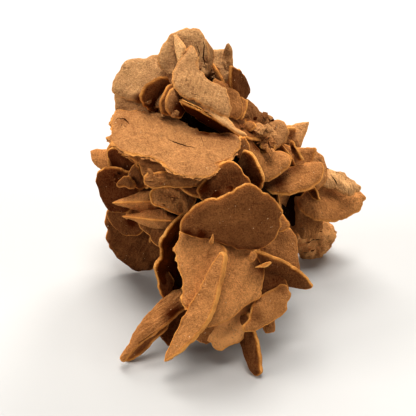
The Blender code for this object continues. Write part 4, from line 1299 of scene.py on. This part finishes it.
def buildRose():
    sharpAngle = 48.0   # degrees, over which an edge is drawn sharp
    meshes = allBlades()
    print("blades:", len(meshes), "with", sum(len(mesh.polygons) for mesh in meshes) * 2, "triangles")
    crumbs = allCrumbs()
    print("crumbs:", len(crumbs))
    rose = joined(meshes + crumbs + allTies(), allCracks() + [floorCutter()])
    looseDropped(rose.data)
    rose.data.materials.clear()
    rose.data.materials.append(gypsumMaterial())
    rose.data.shade_smooth()
    rose.data.set_sharp_from_angle(angle=math.radians(sharpAngle))
    rose.data.calc_loop_triangles()
    print("rose:", len(rose.data.loop_triangles), "triangles")
    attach(rose, "root")
    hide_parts("sand_rose")
    return rose


studio = {
    "floorColour": (0.52, 0.507, 0.485, 1.0),
    "floorRoughness": 0.9,
    "floorSpan": 4.0,       # m from the middle to each side
    "skyColour": (1.0, 0.985, 0.96, 1.0),
    "skyStrength": 0.03,
    "backdrop": 0.88,       # how bright the camera sees the air past the floor
    "lampDistance": 1.6,    # m
    "lampAim": (0.0, 0.0, 0.03),
    "gamma": 0.8,
}

# Soft lamps round the point that they aim at: name, degrees round from the front towards the right,
# degrees above the floor, watts, size in m.
lamps = [
    ("overhead", 205, 70, 18.5, 0.9),
    ("front", 12, 78, 17.0, 0.6),
    ("right", 62, 22, 8.0, 0.6),
    ("left", 282, 23, 13.8, 0.6),
    ("backRight", 150, 40, 13.8, 0.6),
    ("backLeft", 215, 40, 6.2, 0.6),
]


def buildSky():
    world = bpy.data.worlds.new("studioSky")
    world.use_nodes = True
    # 1 for what the camera sees, 0 for the light that falls on the rose.
    seen = Wire(world.node_tree, None).node("ShaderNodeLightPath")
    strength = studio["skyStrength"] + seen * (studio["backdrop"] - studio["skyStrength"])
    air = world.node_tree.nodes["Background"]
    air.inputs["Color"].default_value = studio["skyColour"]
    strength.into(air.inputs["Strength"])
    bpy.context.scene.world = world


def buildFloor():
    span = studio["floorSpan"]
    points = np.array([(-span, -span, 0), (span, -span, 0), (span, span, 0), (-span, span, 0)])
    floor = bpy.data.objects.new("floor", makeMesh("floor", points, np.array([(0, 1, 2, 3)]), {}))
    paper = bpy.data.materials.new("paper")
    paper.use_nodes = True
    shader = paper.node_tree.nodes["Principled BSDF"]
    shader.inputs["Base Color"].default_value = studio["floorColour"]
    shader.inputs["Roughness"].default_value = studio["floorRoughness"]
    floor.data.materials.append(paper)
    bpy.context.scene.collection.objects.link(floor)


def buildLamps():
    target = Vector(studio["lampAim"])
    for name, about, above, power, size in lamps:
        lamp = bpy.data.lights.new(name, "AREA")
        lamp.energy = power
        lamp.size = size
        side, height = math.radians(about), math.radians(above)
        reach = studio["lampDistance"] * math.cos(height)
        away = Vector((reach * math.sin(side), -reach * math.cos(side),
                       studio["lampDistance"] * math.sin(height)))
        holder = bpy.data.objects.new(name, lamp)
        holder.location = target + away
        holder.rotation_euler = (-away).to_track_quat("-Z", "Y").to_euler()
        bpy.context.scene.collection.objects.link(holder)


def buildStudio():
    buildSky()
    buildFloor()
    buildLamps()
    bpy.context.scene.view_settings.view_transform = "Standard"
    bpy.context.scene.view_settings.gamma = studio["gamma"]
    print("studio:", len(lamps), "lamps")


def buildCamera():
    camera = bpy.data.cameras.new("camera")
    camera.sensor_width = 36.0
    camera.lens = camera.sensor_width * sheet["focus"] / sheet["size"]
    camera.clip_start = 5.0 * mm
    camera.clip_end = 20.0
    holder = bpy.data.objects.new("camera", camera)
    holder.location = Vector(eyePoint() + np.array(sheet["boxShift"]))
    holder.rotation_euler = (math.radians(90.0) - sheet["eyeElevation"], 0.0, 0.0)
    bpy.context.scene.collection.objects.link(holder)
    bpy.context.scene.camera = holder


buildCamera()
buildRose()
buildStudio()
